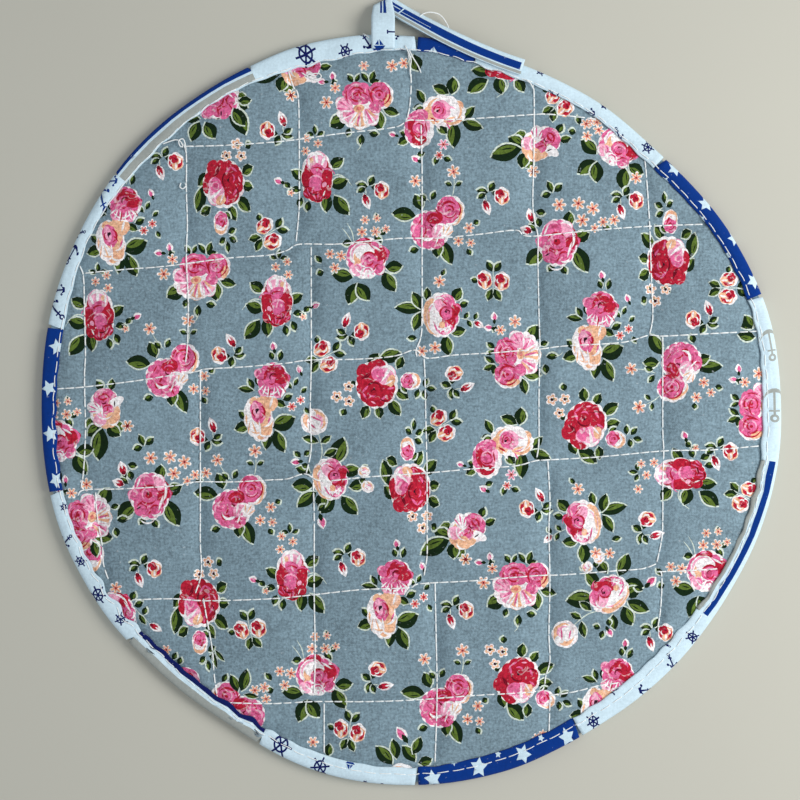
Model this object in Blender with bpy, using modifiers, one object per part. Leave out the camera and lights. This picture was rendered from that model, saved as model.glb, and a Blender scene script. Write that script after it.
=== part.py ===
"""Round quilted mat with a bound edge and a hanging loop.

Three sewn pieces, each a closed solid lying on the floor plane z = 0:
  quilted_panel   the filled, square-quilted round, squeezed thin where the binding grips it
  edge_binding    the strip wrapped over the round's edge, above and below
  hanging_loop    the strip folded once and sewn down at both ends on the binding

Lengths are in millimetres up to the point where a mesh becomes an object.
The origin is the middle of the mat's underside, with +Z up and the loop towards +Y.
"""

import math

import bmesh
import bpy
from mathutils import Vector

MM = 0.001  # one millimetre in metres

# The round's edge, every 15 degrees anticlockwise from +X.
# radius: out to the binding's edge.  cover: how far the binding's upper leaf reaches in.
RIM_STEP_DEG = 15.0
RIM = (
    # radius, cover
    (163.9, 8.4),
    (163.8, 7.0),
    (161.3, 6.6),
    (158.2, 7.0),
    (159.6, 6.5),
    (161.0, 6.8),
    (165.7, 6.6),
    (168.3, 9.8),
    (167.9, 6.8),
    (168.1, 7.4),
    (166.6, 5.2),
    (165.2, 7.2),
    (163.5, 6.7),
    (164.2, 6.2),
    (163.2, 6.8),
    (161.0, 8.4),
    (161.0, 8.0),
    (165.2, 8.2),
    (166.1, 8.0),
    (165.2, 9.4),
    (162.6, 9.0),
    (162.6, 9.6),
    (162.4, 8.0),
    (164.0, 8.0),
)
RIM_STATIONS = 132  # sections round the edge
NOMINAL_RADIUS = 165.0
NOMINAL_COVER = 8.0

# Quilting seams: six upright ones and six across, on a 2 inch plan.
SEAM_REACH = 100.0  # the tables give each seam at this distance either side of the middle
UPRIGHT_SEAMS = (
    # x at the top, x at the bottom, bow at the middle
    (-147.5, -134.0, -3.0),
    (-99.5, -90.5, -0.5),
    (-48.8, -41.6, 0.5),
    (2.8, 9.6, -0.5),
    (54.8, 60.9, -0.5),
    (104.5, 111.0, 2.5),
)
CROSS_SEAMS = (
    # y at the left, y at the right, bow at the middle
    (116.3, 134.6, 1.0),
    (65.5, 81.5, 1.5),
    (17.5, 31.5, 0.5),
    (-32.5, -19.0, 0.0),
    (-84.0, -70.8, 0.5),
    (-131.0, -121.8, 0.5),
)
SQUARE = 51.0  # the quilting plan's pitch, for what lies outside the outermost seams
CELL_CUTS = (0.0, 0.05, 0.17, 0.5, 0.83, 0.95)  # mesh lines across one quilted square
COLUMNS, ROWS = 8, 7  # squares that the slab is made of, before it is trimmed round
SETTLING = 8  # rounds in which a crossing of two leaning seams is found

# Heights above the floor.
CLOTH = 1.0  # the binding's folded cloth
GAP = 0.3  # between sewn pieces
SQUEEZED = 2.2  # the panel's thickness inside the binding
SEAM_HEIGHT = 3.1  # top of the panel along a seam
PUFF = 2.7  # how far a square rises above its seams
PUFF_SPREAD = 0.35  # how much one square's rise differs from the next
PUFF_STEPS = (2.3, 4.1)  # radians by which that difference moves on, across and down
PUFF_SHAPE = 0.42  # below 1, a square is full out to its seams
GRIP_LOW = CLOTH + GAP
GRIP_HIGH = GRIP_LOW + SQUEEZED
FOLD_DEPTH = 1.5  # nearer the edge than this, the binding keeps one section all round
UNDER_LEAF = 8.0  # reach of the binding's lower leaf
LEAF_EDGE_HIGH = 4.55  # top of the upper leaf at its sewn inner edge
LEAF_CROWN_HIGH = 5.0  # and at its middle

# The loop's strip, which runs up from its foot, folds back under itself on a slanting
# crease and curves down to its other end.
STRIP_THICK = 1.1
LEG_WIDTH, TAIL_WIDTH = 10.2, 7.0
TAPER = (13.0, 25.0)  # lengths along the strip between which it narrows
LEG_X = -12.3  # middle of the upright leg
LEG_FOOT_Y = 159.6
CREASE_Y = 181.8  # where the crease crosses the leg's middle
CREASE_DEG = 27.5
FOLD_RADIUS = 1.0
TAIL_LENGTH = 69.0
TAIL_TURN_DEG = 17.0  # how far the tail's direction turns along its length
LAID_LOW = 0.75  # middle of the strip where it lies on the floor
LAID_HIGH = 5.9  # middle of the strip where it lies on the binding
RAMP = (1.2, 15.0)  # distances outside the edge between which the strip comes down
LIFTED = (9.0, 20.0)  # distances along the leg from the crease over which it settles
STRIP_CELLS = 4
STRIP_STATIONS = 84


# --- shared geometry -------------------------------------------------------


def around(bearing, column):
    """A column of RIM at a bearing in radians, on a closed Catmull-Rom curve."""
    place = math.degrees(bearing) / RIM_STEP_DEG
    first = math.floor(place)
    t = place - first
    before, here, after, beyond = (
        RIM[(first + step) % len(RIM)][column] for step in (-1, 0, 1, 2)
    )
    return 0.5 * (
        2 * here
        + (after - before) * t
        + (2 * before - 5 * here + 4 * after - beyond) * t**2
        + (3 * here - before - 3 * after + beyond) * t**3
    )


def rim_radius(bearing):
    return around(bearing, 0)


def cover(bearing):
    return around(bearing, 1)


def seam_line(seams, number, along):
    """Where a seam of a table lies at a distance along it. Numbers between two
    seams, or past the last, give the lines between or beyond them."""
    low = min(max(math.floor(number), 1), len(seams))
    high = min(low + 1, len(seams))

    def at(index):
        start, end, bow = seams[index - 1]
        t = (along + SEAM_REACH) / (2 * SEAM_REACH)
        return start + (end - start) * t + bow * 4 * t * (1 - t)

    if number < 1 or number > len(seams):
        outward = math.copysign(SQUARE, at(len(seams)) - at(1))
        return at(low) + outward * (number - low)
    return at(low) + (at(high) - at(low)) * (number - low)


def on_seams(across, down):
    """The plan point whose upright and cross seam numbers are these."""
    x, y = 0.0, 0.0
    for _ in range(SETTLING):
        x = seam_line(UPRIGHT_SEAMS, across, -y)
        y = seam_line(CROSS_SEAMS, down, x)
    return x, y


def quilted_height(across, down):
    """Height of the quilted top: each square is a pillow between its seams."""
    a, b = across % 1.0, down % 1.0
    pillow = (16 * a * (1 - a) * b * (1 - b)) ** PUFF_SHAPE
    own = math.sin(
        PUFF_STEPS[0] * math.floor(across) + PUFF_STEPS[1] * math.floor(down)
    )
    return SEAM_HEIGHT + (PUFF + PUFF_SPREAD * own) * pillow


def turned(profile, closed):
    """A profile of (inset from the edge, height) spun round the nominal circle."""
    bm = bmesh.new()
    verts = [bm.verts.new((NOMINAL_RADIUS - inset, 0, z)) for inset, z in profile]
    pairs = list(zip(verts, verts[1:]))
    if closed:
        pairs.append((verts[-1], verts[0]))
    edges = [bm.edges.new(pair) for pair in pairs]
    bmesh.ops.spin(
        bm,
        geom=verts + edges,
        cent=(0, 0, 0),
        axis=(0, 0, 1),
        angle=2 * math.pi,
        steps=RIM_STATIONS,
        use_merge=True,
    )
    return bm


def follow_rim(bm):
    """Moves a turned shape's points onto the uneven edge. In the upper half, insets
    past the outer fold stretch with the binding's cover."""
    middle_height = (GRIP_LOW + GRIP_HIGH) / 2
    for v in bm.verts:
        bearing = math.atan2(v.co.y, v.co.x)
        inset = NOMINAL_RADIUS - math.hypot(v.co.x, v.co.y)
        if v.co.z > middle_height and inset > FOLD_DEPTH:
            wide = cover(bearing)
            if inset < NOMINAL_COVER:
                inset *= wide / NOMINAL_COVER
            else:
                inset += wide - NOMINAL_COVER
        radius = rim_radius(bearing) - inset
        v.co.x = radius * math.cos(bearing)
        v.co.y = radius * math.sin(bearing)


def make_object(name, bm, collection, material=None, smooth_deg=None):
    """Turns millimetres into metres and links the mesh as an object."""
    bmesh.ops.recalc_face_normals(bm, faces=bm.faces[:])
    bmesh.ops.scale(bm, vec=(MM, MM, MM), verts=bm.verts[:])
    mesh = bpy.data.meshes.new(name)
    bm.to_mesh(mesh)
    bm.free()
    if smooth_deg is not None:
        mesh.shade_smooth()
        mesh.set_sharp_from_angle(angle=math.radians(smooth_deg))
    obj = bpy.data.objects.new(name, mesh)
    if material is not None:
        mesh.materials.append(material)
    collection.objects.link(obj)
    return obj


def cloth_material(name, colour, roughness):
    material = bpy.data.materials.new(name)
    material.use_nodes = True
    shader = material.node_tree.nodes["Principled BSDF"]
    shader.inputs["Base Color"].default_value = (*colour, 1.0)
    shader.inputs["Roughness"].default_value = roughness
    shader.inputs["Metallic"].default_value = 0.0
    return material


# --- quilted panel ---------------------------------------------------------


def quilted_slab():
    """A grid whose lines follow the seams, raised into pillows, with a flat bottom."""
    lines = len(CELL_CUTS)
    bm = bmesh.new()
    bmesh.ops.create_grid(
        bm, x_segments=COLUMNS * lines, y_segments=ROWS * lines, size=0.5
    )

    def seam_number(share, squares):
        """A grid line's place, 0 to 1, as a seam number: each square is cut alike."""
        line = round(share * squares * lines)
        square, cut = divmod(line, lines)
        return square + CELL_CUTS[cut]

    for v in bm.verts:
        across = seam_number(v.co.x + 0.5, COLUMNS)
        down = seam_number(0.5 - v.co.y, ROWS)
        x, y = on_seams(across, down)
        v.co = Vector((x, y, quilted_height(across, down)))
    border = [e for e in bm.edges if e.is_boundary]
    skirt = bmesh.ops.extrude_edge_only(bm, edges=border)["geom"]
    for v in (g for g in skirt if isinstance(g, bmesh.types.BMVert)):
        v.co.z = 0.0
    rim = [e for e in bm.edges if e.is_boundary]
    bmesh.ops.holes_fill(bm, edges=rim, sides=0)
    return bm


def panel_envelope():
    """The room the panel has: full in the middle, squeezed between the binding's
    leaves at the edge, and clear of the floor over the lower leaf."""
    inner = NOMINAL_COVER
    profile = (
        (inner + 24.0, 9.0),
        (inner + 15.0, 6.5),
        (inner + 8.0, 5.7),
        (inner + 3.5, 4.9),
        (inner + 1.4, 4.1),
        (inner + 0.5, GRIP_HIGH),
        (GRIP_LOW, GRIP_HIGH),
        (GRIP_LOW, GRIP_LOW),
        (UNDER_LEAF + 0.5, GRIP_LOW),
        (UNDER_LEAF + 3.0, 0.4),
        (UNDER_LEAF + 6.0, -1.0),
    )
    bm = turned(profile, closed=False)
    follow_rim(bm)
    ends = [e for e in bm.edges if e.is_boundary]
    bmesh.ops.holes_fill(bm, edges=ends, sides=0)
    return bm


def build_panel(parts, cutters):
    cloth = cloth_material("printed_quilt", (0.23, 0.31, 0.37), 0.9)
    panel = make_object("quilted_panel", quilted_slab(), parts, cloth)
    envelope = make_object("panel_envelope", panel_envelope(), cutters)
    envelope.hide_render = True
    envelope.display_type = "WIRE"
    trim = panel.modifiers.new("trim_round", "BOOLEAN")
    trim.operation = "INTERSECT"
    trim.solver = "EXACT"
    trim.object = envelope
    return panel


# --- binding ---------------------------------------------------------------


def build_binding(parts):
    """A folded strip round the edge: an upper leaf, a rounded outer fold and a
    lower leaf, all one cloth, open towards the panel."""
    inner = NOMINAL_COVER
    profile = (
        (inner, LEAF_EDGE_HIGH),
        (inner, GRIP_HIGH + GAP),
        (CLOTH, GRIP_HIGH + GAP),
        (CLOTH, CLOTH),
        (UNDER_LEAF, CLOTH),
        (UNDER_LEAF, 0.0),
        (1.3, 0.0),
        (0.35, 0.4),
        (0.0, 1.3),
        (0.0, 3.5),
        (0.45, 4.35),
        (1.6, 4.8),
        (inner * 0.55, LEAF_CROWN_HIGH),
        (inner - 1.2, 4.75),
    )
    bm = turned(profile, closed=True)
    follow_rim(bm)
    cloth = cloth_material("binding_cloth", (0.78, 0.82, 0.84), 0.85)
    return make_object("edge_binding", bm, parts, cloth, smooth_deg=50)


# --- hanging loop ----------------------------------------------------------


def smooth_step(value, low, high):
    t = min(max((value - low) / (high - low), 0.0), 1.0)
    return t * t * (3 - 2 * t)


def laid_height(x, y):
    """Height of the strip's middle as it comes off the binding onto the floor."""
    outside = math.hypot(x, y) - rim_radius(math.atan2(y, x))
    return LAID_HIGH + (LAID_LOW - LAID_HIGH) * smooth_step(outside, *RAMP)


def unfolded(along, across):
    """A point of the strip before it is folded: straight up to the crease, and from
    there on round an arc."""
    width = LEG_WIDTH + (TAIL_WIDTH - LEG_WIDTH) * smooth_step(along, *TAPER)
    sideways = across * width / 2
    past = along - (CREASE_Y - LEG_FOOT_Y)
    if past < 0:
        return Vector((LEG_X + sideways, LEG_FOOT_Y + along))
    arc_radius = TAIL_LENGTH / math.radians(TAIL_TURN_DEG)
    turn = past / arc_radius
    reach = arc_radius - sideways
    return Vector(
        (LEG_X + arc_radius - reach * math.cos(turn), CREASE_Y + reach * math.sin(turn))
    )


def strip_point(along, across):
    """A point of the strip after it is rolled back under itself round the crease."""
    slant = math.radians(CREASE_DEG)
    normal = Vector((-math.sin(slant), math.cos(slant)))
    flat = unfolded(along, across)
    half_roll = math.pi * FOLD_RADIUS / 2
    past = (flat - Vector((LEG_X, CREASE_Y))).dot(normal) + half_roll
    lift = 2 * FOLD_RADIUS
    if past > 0:
        turn = min(past / FOLD_RADIUS, math.pi)
        straight = max(past - 2 * half_roll, 0.0)
        flat -= normal * (past - FOLD_RADIUS * math.sin(turn) + straight)
        lift = FOLD_RADIUS * (1 + math.cos(turn))
    from_crease = abs(along - (CREASE_Y - LEG_FOOT_Y))
    lift *= 1 - smooth_step(from_crease, *LIFTED)
    return flat.x, flat.y, laid_height(flat.x, flat.y) + lift


def build_loop(parts):
    """The strip as an open grid, thickened with Solidify."""
    strip_length = CREASE_Y - LEG_FOOT_Y + TAIL_LENGTH
    bm = bmesh.new()
    bmesh.ops.create_grid(
        bm, x_segments=STRIP_CELLS, y_segments=STRIP_STATIONS, size=0.5
    )
    for v in bm.verts:
        along = (v.co.y + 0.5) * strip_length
        v.co = Vector(strip_point(along, 2 * v.co.x))
    cloth = cloth_material("loop_cloth", (0.75, 0.79, 0.84), 0.85)
    loop = make_object("hanging_loop", bm, parts, cloth, smooth_deg=50)
    thick = loop.modifiers.new("cloth", "SOLIDIFY")
    thick.thickness = STRIP_THICK * MM
    thick.offset = 0.0
    return loop


def main():
    for obj in list(bpy.data.objects):
        bpy.data.objects.remove(obj)
    parts = bpy.data.collections.new("round_quilted_mat")
    cutters = bpy.data.collections.new("cutters")
    bpy.context.scene.collection.children.link(parts)
    bpy.context.scene.collection.children.link(cutters)
    build_panel(parts, cutters)
    build_binding(parts)
    build_loop(parts)


main()
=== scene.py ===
"""Round quilted table mat: a printed rose cotton top on a filled, square-quilted
round, a pieced nautical binding, a hanging loop and the machine stitching.

Shapes are worked out in millimetres in the CAD frame and become metres when a mesh
is made. The print's layout is written in steps of STEP millimetres, counted to the
right and down from the corner of the cutting plan.
"""

import functools
import math

import bmesh
import bpy
import numpy as np
from bpy.props import FloatProperty, FloatVectorProperty, PointerProperty
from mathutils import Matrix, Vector
from mathutils.geometry import delaunay_2d_cdt


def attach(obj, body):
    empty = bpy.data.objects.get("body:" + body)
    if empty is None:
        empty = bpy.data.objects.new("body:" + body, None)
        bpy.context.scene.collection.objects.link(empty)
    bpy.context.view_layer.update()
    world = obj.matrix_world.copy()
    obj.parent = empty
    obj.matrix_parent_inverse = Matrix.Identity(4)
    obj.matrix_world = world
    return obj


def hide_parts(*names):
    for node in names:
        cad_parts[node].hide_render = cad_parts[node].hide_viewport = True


bl_info = {
    "name": "Round quilted mat",
    "version": (1, 0, 0),
    "blender": (4, 5, 0),
    "location": "3D View > Sidebar > Quilted Mat",
    "description": "Builds a round quilted mat with a bound edge and a hanging loop",
    "category": "Add Mesh",
}

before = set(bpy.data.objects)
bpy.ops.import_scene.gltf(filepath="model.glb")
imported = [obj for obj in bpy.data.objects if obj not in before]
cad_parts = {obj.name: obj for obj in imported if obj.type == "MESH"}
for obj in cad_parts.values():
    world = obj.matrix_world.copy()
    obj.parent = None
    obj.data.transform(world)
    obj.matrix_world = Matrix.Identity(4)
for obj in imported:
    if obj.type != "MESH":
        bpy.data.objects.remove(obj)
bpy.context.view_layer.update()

MM = 0.001
STEP = 0.442  # millimetres in one step of the cutting plan
PLAN_MIDDLE = (411.0, 410.0)  # the mat's middle on the plan, in steps

# --- sizes that the CAD frame was cut with, in millimetres --------------------

RIM_STEP_DEG = 15.0
# Radius of the edge and reach of the binding's upper leaf, every RIM_STEP_DEG
RIM = (
    (163.9, 8.4), (163.8, 7.0), (161.3, 6.6), (158.2, 7.0), (159.6, 6.5), (161.0, 6.8),
    (165.7, 6.6), (168.3, 9.8), (167.9, 6.8), (168.1, 7.4), (166.6, 5.2), (165.2, 7.2),
    (163.5, 6.7), (164.2, 6.2), (163.2, 6.8), (161.0, 8.4), (161.0, 8.0), (165.2, 8.2),
    (166.1, 8.0), (165.2, 9.4), (162.6, 9.0), (162.6, 9.6), (162.4, 8.0), (164.0, 8.0),
)
NOMINAL_RADIUS = 165.0
NOMINAL_COVER = 8.0
GRIP_LOW, GRIP_HIGH = 1.3, 3.5  # faces of the quilt inside the binding
SEAM_HEIGHT = 3.1
PUFF = 3.0  # how far a square rises above its seams, unless a user changes it

STRIP_THICK = 1.1
LEG_WIDTH, TAIL_WIDTH = 10.2, 7.0
TAPER = (13.0, 25.0)
LEG_X = -12.3
LEG_FOOT_Y = 159.6
CREASE_Y = 181.8
CREASE_DEG = 27.5
FOLD_RADIUS = 1.0
TAIL_LENGTH = 69.0
TAIL_TURN_DEG = 17.0
LAID_LOW, LAID_HIGH = 0.75, 5.9
RAMP = (1.2, 15.0)
LIFTED = (9.0, 20.0)

# --- quilting lines, in steps of the plan -----------------------------------

# One row a seam, and in it one tuple for each length sewn without a break.
UPRIGHT_RUNS = (
    (((79, 265), (83, 277), (84, 312), (85, 353), (84, 380), (85, 432), (83, 472), (81, 486),
      (84, 490)),
     ((95, 492), (97, 517), (102, 547), (103, 564), (108, 580))),
    (((183, 143), (186, 155), (186, 189), (187, 224), (186, 258), (188, 303), (187, 346),
      (185, 363)),
     ((200, 370), (200, 432), (200, 482), (200, 518), (200, 544), (201, 573), (195, 594)),
     ((203, 599), (206, 616), (212, 650), (214, 676), (218, 706))),
    (((288, 70), (293, 86), (298, 96), (299, 138), (299, 172), (299, 207), (296, 241)),
     ((311, 246), (311, 312), (311, 363), (310, 415), (311, 449), (306, 474)),
     ((313, 482), (314, 518), (314, 595), (315, 650), (314, 694)),
     ((324, 704), (324, 754))),
    (((408, 50), (411, 77), (410, 103), (407, 119)),
     ((421, 124), (422, 172), (422, 232), (422, 312), (421, 336), (416, 350), (417, 357)),
     ((424, 358), (425, 380), (426, 432), (427, 472), (427, 530), (427, 556), (424, 576)),
     ((435, 583), (436, 633), (437, 697), (435, 763))),
    (((530, 78), (534, 91), (534, 155), (533, 207), (538, 236), (538, 260), (539, 312), (540, 348),
      (539, 398), (539, 441), (537, 458)),
     ((548, 461), (550, 501), (549, 530), (550, 582), (549, 633), (550, 661), (546, 676),
      (545, 685)),
     ((550, 702), (549, 735))),
    (((645, 158), (647, 181), (650, 226), (651, 258), (652, 286), (653, 317), (650, 334)),
     ((663, 336), (663, 380), (663, 432), (664, 451), (663, 484), (663, 518), (662, 539),
      (657, 563)),
     ((657, 572), (662, 575), (661, 607), (658, 628))),
)
CROSS_RUNS = (
    (((184, 146), (224, 145), (270, 142), (298, 139), (342, 133), (394, 127), (408, 120),
      (427, 120), (477, 118), (535, 114), (551, 114), (582, 117), (597, 119)),),
    (((84, 273), (127, 269), (165, 266), (227, 258), (268, 255), (287, 250), (299, 244), (334, 244),
      (368, 241), (403, 238), (437, 238), (480, 234), (516, 230), (530, 236), (594, 230),
      (650, 226), (704, 224)),),
    (((54, 389), (83, 387), (134, 381), (179, 374), (198, 371), (205, 369), (241, 367), (265, 365),
      (287, 363), (310, 360), (360, 359), (394, 356), (415, 350), (427, 358), (454, 355),
      (489, 353), (515, 351), (540, 349), (564, 346), (616, 343), (633, 340), (650, 335),
      (663, 336), (702, 334), (760, 331)),),
    (((77, 496), (84, 490), (120, 489), (172, 486), (196, 482), (232, 482), (270, 480), (287, 479),
      (305, 474), (322, 481), (368, 477), (427, 473), (472, 469), (515, 466), (535, 461),
      (547, 460), (599, 457), (664, 451), (711, 450), (760, 446)),),
    (((132, 600), (172, 599), (207, 601), (270, 599), (313, 595), (360, 590), (408, 588),
      (420, 584), (472, 581), (535, 576), (564, 575), (616, 571), (642, 569), (657, 564)),
     ((657, 572), (685, 571), (718, 569))),
    (((222, 703), (270, 704), (313, 702), (368, 702), (420, 700), (473, 696), (535, 692),
      (545, 687)),
     ((549, 696), (575, 692), (599, 686), (620, 683))),
)

# --- curves and heights ------------------------------------------------------


def plan(points):
    """Steps of the plan, right and down, turned into millimetres from the middle."""
    points = np.asarray(points, float)
    return (points - PLAN_MIDDLE) * (STEP, -STEP)


def catmull_rom(a, b, c, d, t):
    """The curve from b, where t is 0, to c, where it is 1, between neighbours a and d."""
    return 0.5 * (2 * b + (c - a) * t + (2 * a - 5 * b + 4 * c - d) * t**2
                  + (3 * b - a - 3 * c + d) * t**3)


def around(bearing, column):
    """A column of RIM at bearings in radians, on a closed Catmull-Rom curve."""
    place = np.degrees(bearing) / RIM_STEP_DEG
    first = np.floor(place).astype(int)
    values = np.array(RIM)[:, column]
    near = (values[(first + k) % len(values)] for k in (-1, 0, 1, 2))
    return catmull_rom(*near, place - first)


def rim_radius(bearing):
    """Radius of the mat's edge at bearings in radians."""
    return around(bearing, 0)


# Waves of the binding's sewn edge: how many round the mat, millimetres high, start
PUCKERS = ((61, 0.30, 0.4), (74, 0.34, 2.2), (87, 0.34, 4.0), (98, 0.26, 1.1), (113, 0.20, 5.3))


def leaf_reach(bearing):
    """Reach of the upper leaf: the table's value and the puckers of its sewn edge,
    a sum of five sine waves round the mat, 9 to 17 mm long, that come and go and are
    fullest at the lower left."""
    wave = np.zeros_like(bearing)
    for turns, size, start in PUCKERS:
        wave += size * np.sin(turns * bearing + start)
    slack = 0.42 + 0.16 * np.sin(3 * bearing + 2.6)
    slack += 0.5 * np.exp(7 * (np.cos(bearing - 3.86) - 1))
    return around(bearing, 1) + wave * slack


def inset_of(x, y):
    """How far points lie inside the mat's edge, and their bearings."""
    bearing = np.arctan2(y, x)
    return rim_radius(bearing) - np.hypot(x, y), bearing


def smooth_step(value, low, high):
    """0 below low, 1 above high, and 3t^2 - 2t^3 between them."""
    t = np.clip((value - low) / (high - low), 0.0, 1.0)
    return t * t * (3 - 2 * t)


WAVES = 9  # plane waves in each relief of lumps


def lumps(x, y, length, seed):
    """Soft uneven relief, about -1 to 1: plane waves of about that length in seeded
    directions, added up."""
    draw = np.random.default_rng(seed)
    heading = draw.uniform(0, 2 * np.pi, WAVES)
    turns = 2 * np.pi / (length * draw.uniform(0.7, 1.5, WAVES))
    start = draw.uniform(0, 2 * np.pi, WAVES)
    total = np.zeros_like(x)
    for h, k, s in zip(heading, turns, start):
        total += np.sin(k * (x * np.cos(h) + y * np.sin(h)) + s)
    return total / math.sqrt(WAVES)


CURVE_STEPS = 12  # points of a curve between two that it runs through


def smooth_run(points, spacing):
    """A run through its points on a Catmull-Rom curve, resampled at even spacing."""
    p = np.asarray(points, float)
    p = np.vstack([2 * p[0] - p[1], p, 2 * p[-1] - p[-2]])
    t = np.linspace(0, 1, CURVE_STEPS, endpoint=False)[None, :, None]
    curve = catmull_rom(*(p[k:len(p) - 3 + k, None, :] for k in range(4)), t)
    curve = np.vstack([curve.reshape(-1, p.shape[1]), p[-2]])
    length = np.r_[0, np.cumsum(np.linalg.norm(np.diff(curve, axis=0), axis=1))]
    at = np.linspace(0, length[-1], max(2, round(length[-1] / spacing) + 1))
    return np.stack([np.interp(at, length, column) for column in curve.T], 1)


def steady(knots, values, at):
    """Monotone cubic through knots: slopes are harmonic means of the neighbouring
    chords, and nought where the values turn back."""
    x, y = np.asarray(knots, float), np.asarray(values, float)
    gap, chord = np.diff(x), np.diff(y) / np.diff(x)
    both = chord[:-1] * chord[1:]
    inner = np.where(both > 0, 2 * both / np.where(both > 0, chord[:-1] + chord[1:], 1), 0)
    slope = np.r_[chord[0], inner, chord[-1]]
    k = np.clip(np.searchsorted(x, at) - 1, 0, len(gap) - 1)
    t, h = (np.clip(at, x[0], x[-1]) - x[k]) / gap[k], gap[k]
    return (y[k] * (1 + 2 * t) * (1 - t) ** 2 + y[k + 1] * t * t * (3 - 2 * t)
            + h * t * (1 - t) * (slope[k] * (1 - t) - slope[k + 1] * t))


SEGMENT = 4.0  # millimetres from one point of a seam's run to the next
BATCH = 4000  # points worked on at a time


def run_segments(seams):
    """Starts, ends, seam numbers and distances along, of the pieces of all runs."""
    starts, ends, numbers, along = [], [], [], []
    for number, runs in enumerate(seams):
        for run in runs:
            p = smooth_run(plan(run), SEGMENT)
            starts.append(p[:-1])
            ends.append(p[1:])
            numbers.append(np.full(len(p) - 1, number))
            along.append(np.arange(len(p) - 1) * SEGMENT)
    return tuple(np.concatenate(part) for part in (starts, ends, numbers, along))


UPRIGHT = run_segments(UPRIGHT_RUNS)
CROSS = run_segments(CROSS_RUNS)


def seam_facts(x, y, segments):
    """For each point: its distance to every seam (points by seams), and the signed
    distance to the nearest one with the place along it."""
    starts, ends, numbers, along = segments
    point = np.stack([x, y], 1)
    step = ends - starts
    length = np.linalg.norm(step, axis=1)
    seams = numbers.max() + 1
    nearest = np.empty((len(x), seams))
    offset, place = np.empty(len(x)), np.empty(len(x))
    for low in range(0, len(x), BATCH):
        part = slice(low, low + BATCH)
        rel = point[part, None, :] - starts
        t = np.clip((rel * step).sum(2) / length**2, 0, 1)
        gap = rel - t[..., None] * step
        far = np.hypot(gap[..., 0], gap[..., 1])
        for seam in range(seams):
            nearest[part, seam] = far[:, numbers == seam].min(1)
        best = far.argmin(1)
        row = np.arange(len(best))
        side = step[best, 0] * rel[row, best, 1] - step[best, 1] * rel[row, best, 0]
        offset[part] = far[row, best] * np.sign(side)
        place[part] = along[best] + t[row, best] * length[best]
    return nearest, offset, place


VALLEY = 5.0  # half width of the dip along a seam, and reach of its creases
# Height that the binding lets the quilt reach, by the distance inside its sewn edge
CAP_PAST = (-20.0, 0.3, 1.2, 2.6, 5.0, 9.0, 15.0, 24.0, 40.0)
CAP_HEIGHT = (3.45, 3.5, 4.0, 4.5, 5.05, 5.6, 6.4, 8.0, 12.0)
CAP_BLEND = 0.28  # how softly the quilt meets that limit
CREASE_HIGH, CREASE_LONG = 0.22, 9.1  # creases along the seams: height, wavelength
CREASE_STEEP = 0.8  # how far from the seam a crease has half its height
GATHER_HIGH = 0.28
# Lumps of the filling under the cloth: how high, how long, and the seed of each
FILLING = ((0.32, 70, 3), (0.16, 15, 5), (0.50, 44, 6))


def fullness(distance):
    """How far a pillow has risen at a distance d from a seam: d / sqrt(d^2 + VALLEY^2)."""
    return distance / np.sqrt(distance**2 + VALLEY**2)


def quilt_height(x, y, puff):
    """Height of the quilted top, and the distance to the nearest seam. Pillows: the
    product over all seams of d / sqrt(d^2 + VALLEY^2), times the puff. Along the seams
    small creases run out at right angles, a sine of the place along the seam that dies
    away over VALLEY, and lumps of the filling lie under the cloth. Near the edge the
    binding holds it down: the lower of the two heights, -soft ln(sum of exp(-h / soft)),
    with gathers as radial waves."""
    up, up_off, up_at = seam_facts(x, y, UPRIGHT)
    over, over_off, over_at = seam_facts(x, y, CROSS)
    pillow = fullness(up).prod(1) * fullness(over).prod(1)
    broad, small, middling = (high * lumps(x, y, wave, seed) for high, wave, seed in FILLING)
    height = SEAM_HEIGHT + (puff + broad) * pillow
    for offset, place, seed in ((up_off, up_at, 11), (over_off, over_at, 12)):
        d = np.abs(offset)
        own = lumps(x, y, 34, seed)
        crease = np.sin(2 * np.pi * place / CREASE_LONG + 2.5 * own + np.sign(offset))
        size = CREASE_HIGH * (0.6 + own)
        height += size * crease * np.exp(-d / VALLEY) * d / (d + CREASE_STEEP)
    height += (small + middling) * pillow
    inset, bearing = inset_of(x, y)
    past = inset - leaf_reach(bearing)
    cap = steady(CAP_PAST, CAP_HEIGHT, past)
    fading = np.exp(-np.abs(past - 2.5) / 5.0) * smooth_step(past, 0, 1.5)
    cap = cap + GATHER_HIGH * gathers(bearing) * fading
    low, soft = np.minimum(height, cap), CAP_BLEND
    low = low - soft * np.log(np.exp(-(height - low) / soft) + np.exp(-(cap - low) / soft))
    return low, np.minimum(np.abs(up_off), np.abs(over_off))


def gathers(bearing):
    """Small radial puckers round the mat, about -1 to 1: two sine waves whose pace
    swings, times a slower product of sines that makes them come and go."""
    return (np.sin(79 * bearing + 2.2 * np.sin(5 * bearing))
            + 0.7 * np.sin(103 * bearing + 2.6 * np.sin(3 * bearing + 1.0))
            ) * (0.45 + 0.45 * np.sin(4 * bearing) * np.sin(7 * bearing + 1.0))


GRID_STEP = 0.75
GRID_SIDE = np.arange(-171.75, 172.0, GRID_STEP)
GRID_ROUND = 171  # heights are worked out inside this radius
FAR_OFF = 50.0  # the distance to a seam that is given outside it


@functools.lru_cache
def relief(puff):
    """quilt_height() on a square grid over the round: heights, and seam distances."""
    x, y = np.meshgrid(GRID_SIDE, GRID_SIDE)
    over = np.hypot(x, y) < GRID_ROUND
    height, near = np.full(x.shape, GRIP_HIGH), np.full(x.shape, FAR_OFF)
    height[over], near[over] = quilt_height(x[over], y[over], puff)
    return height, near


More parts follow.
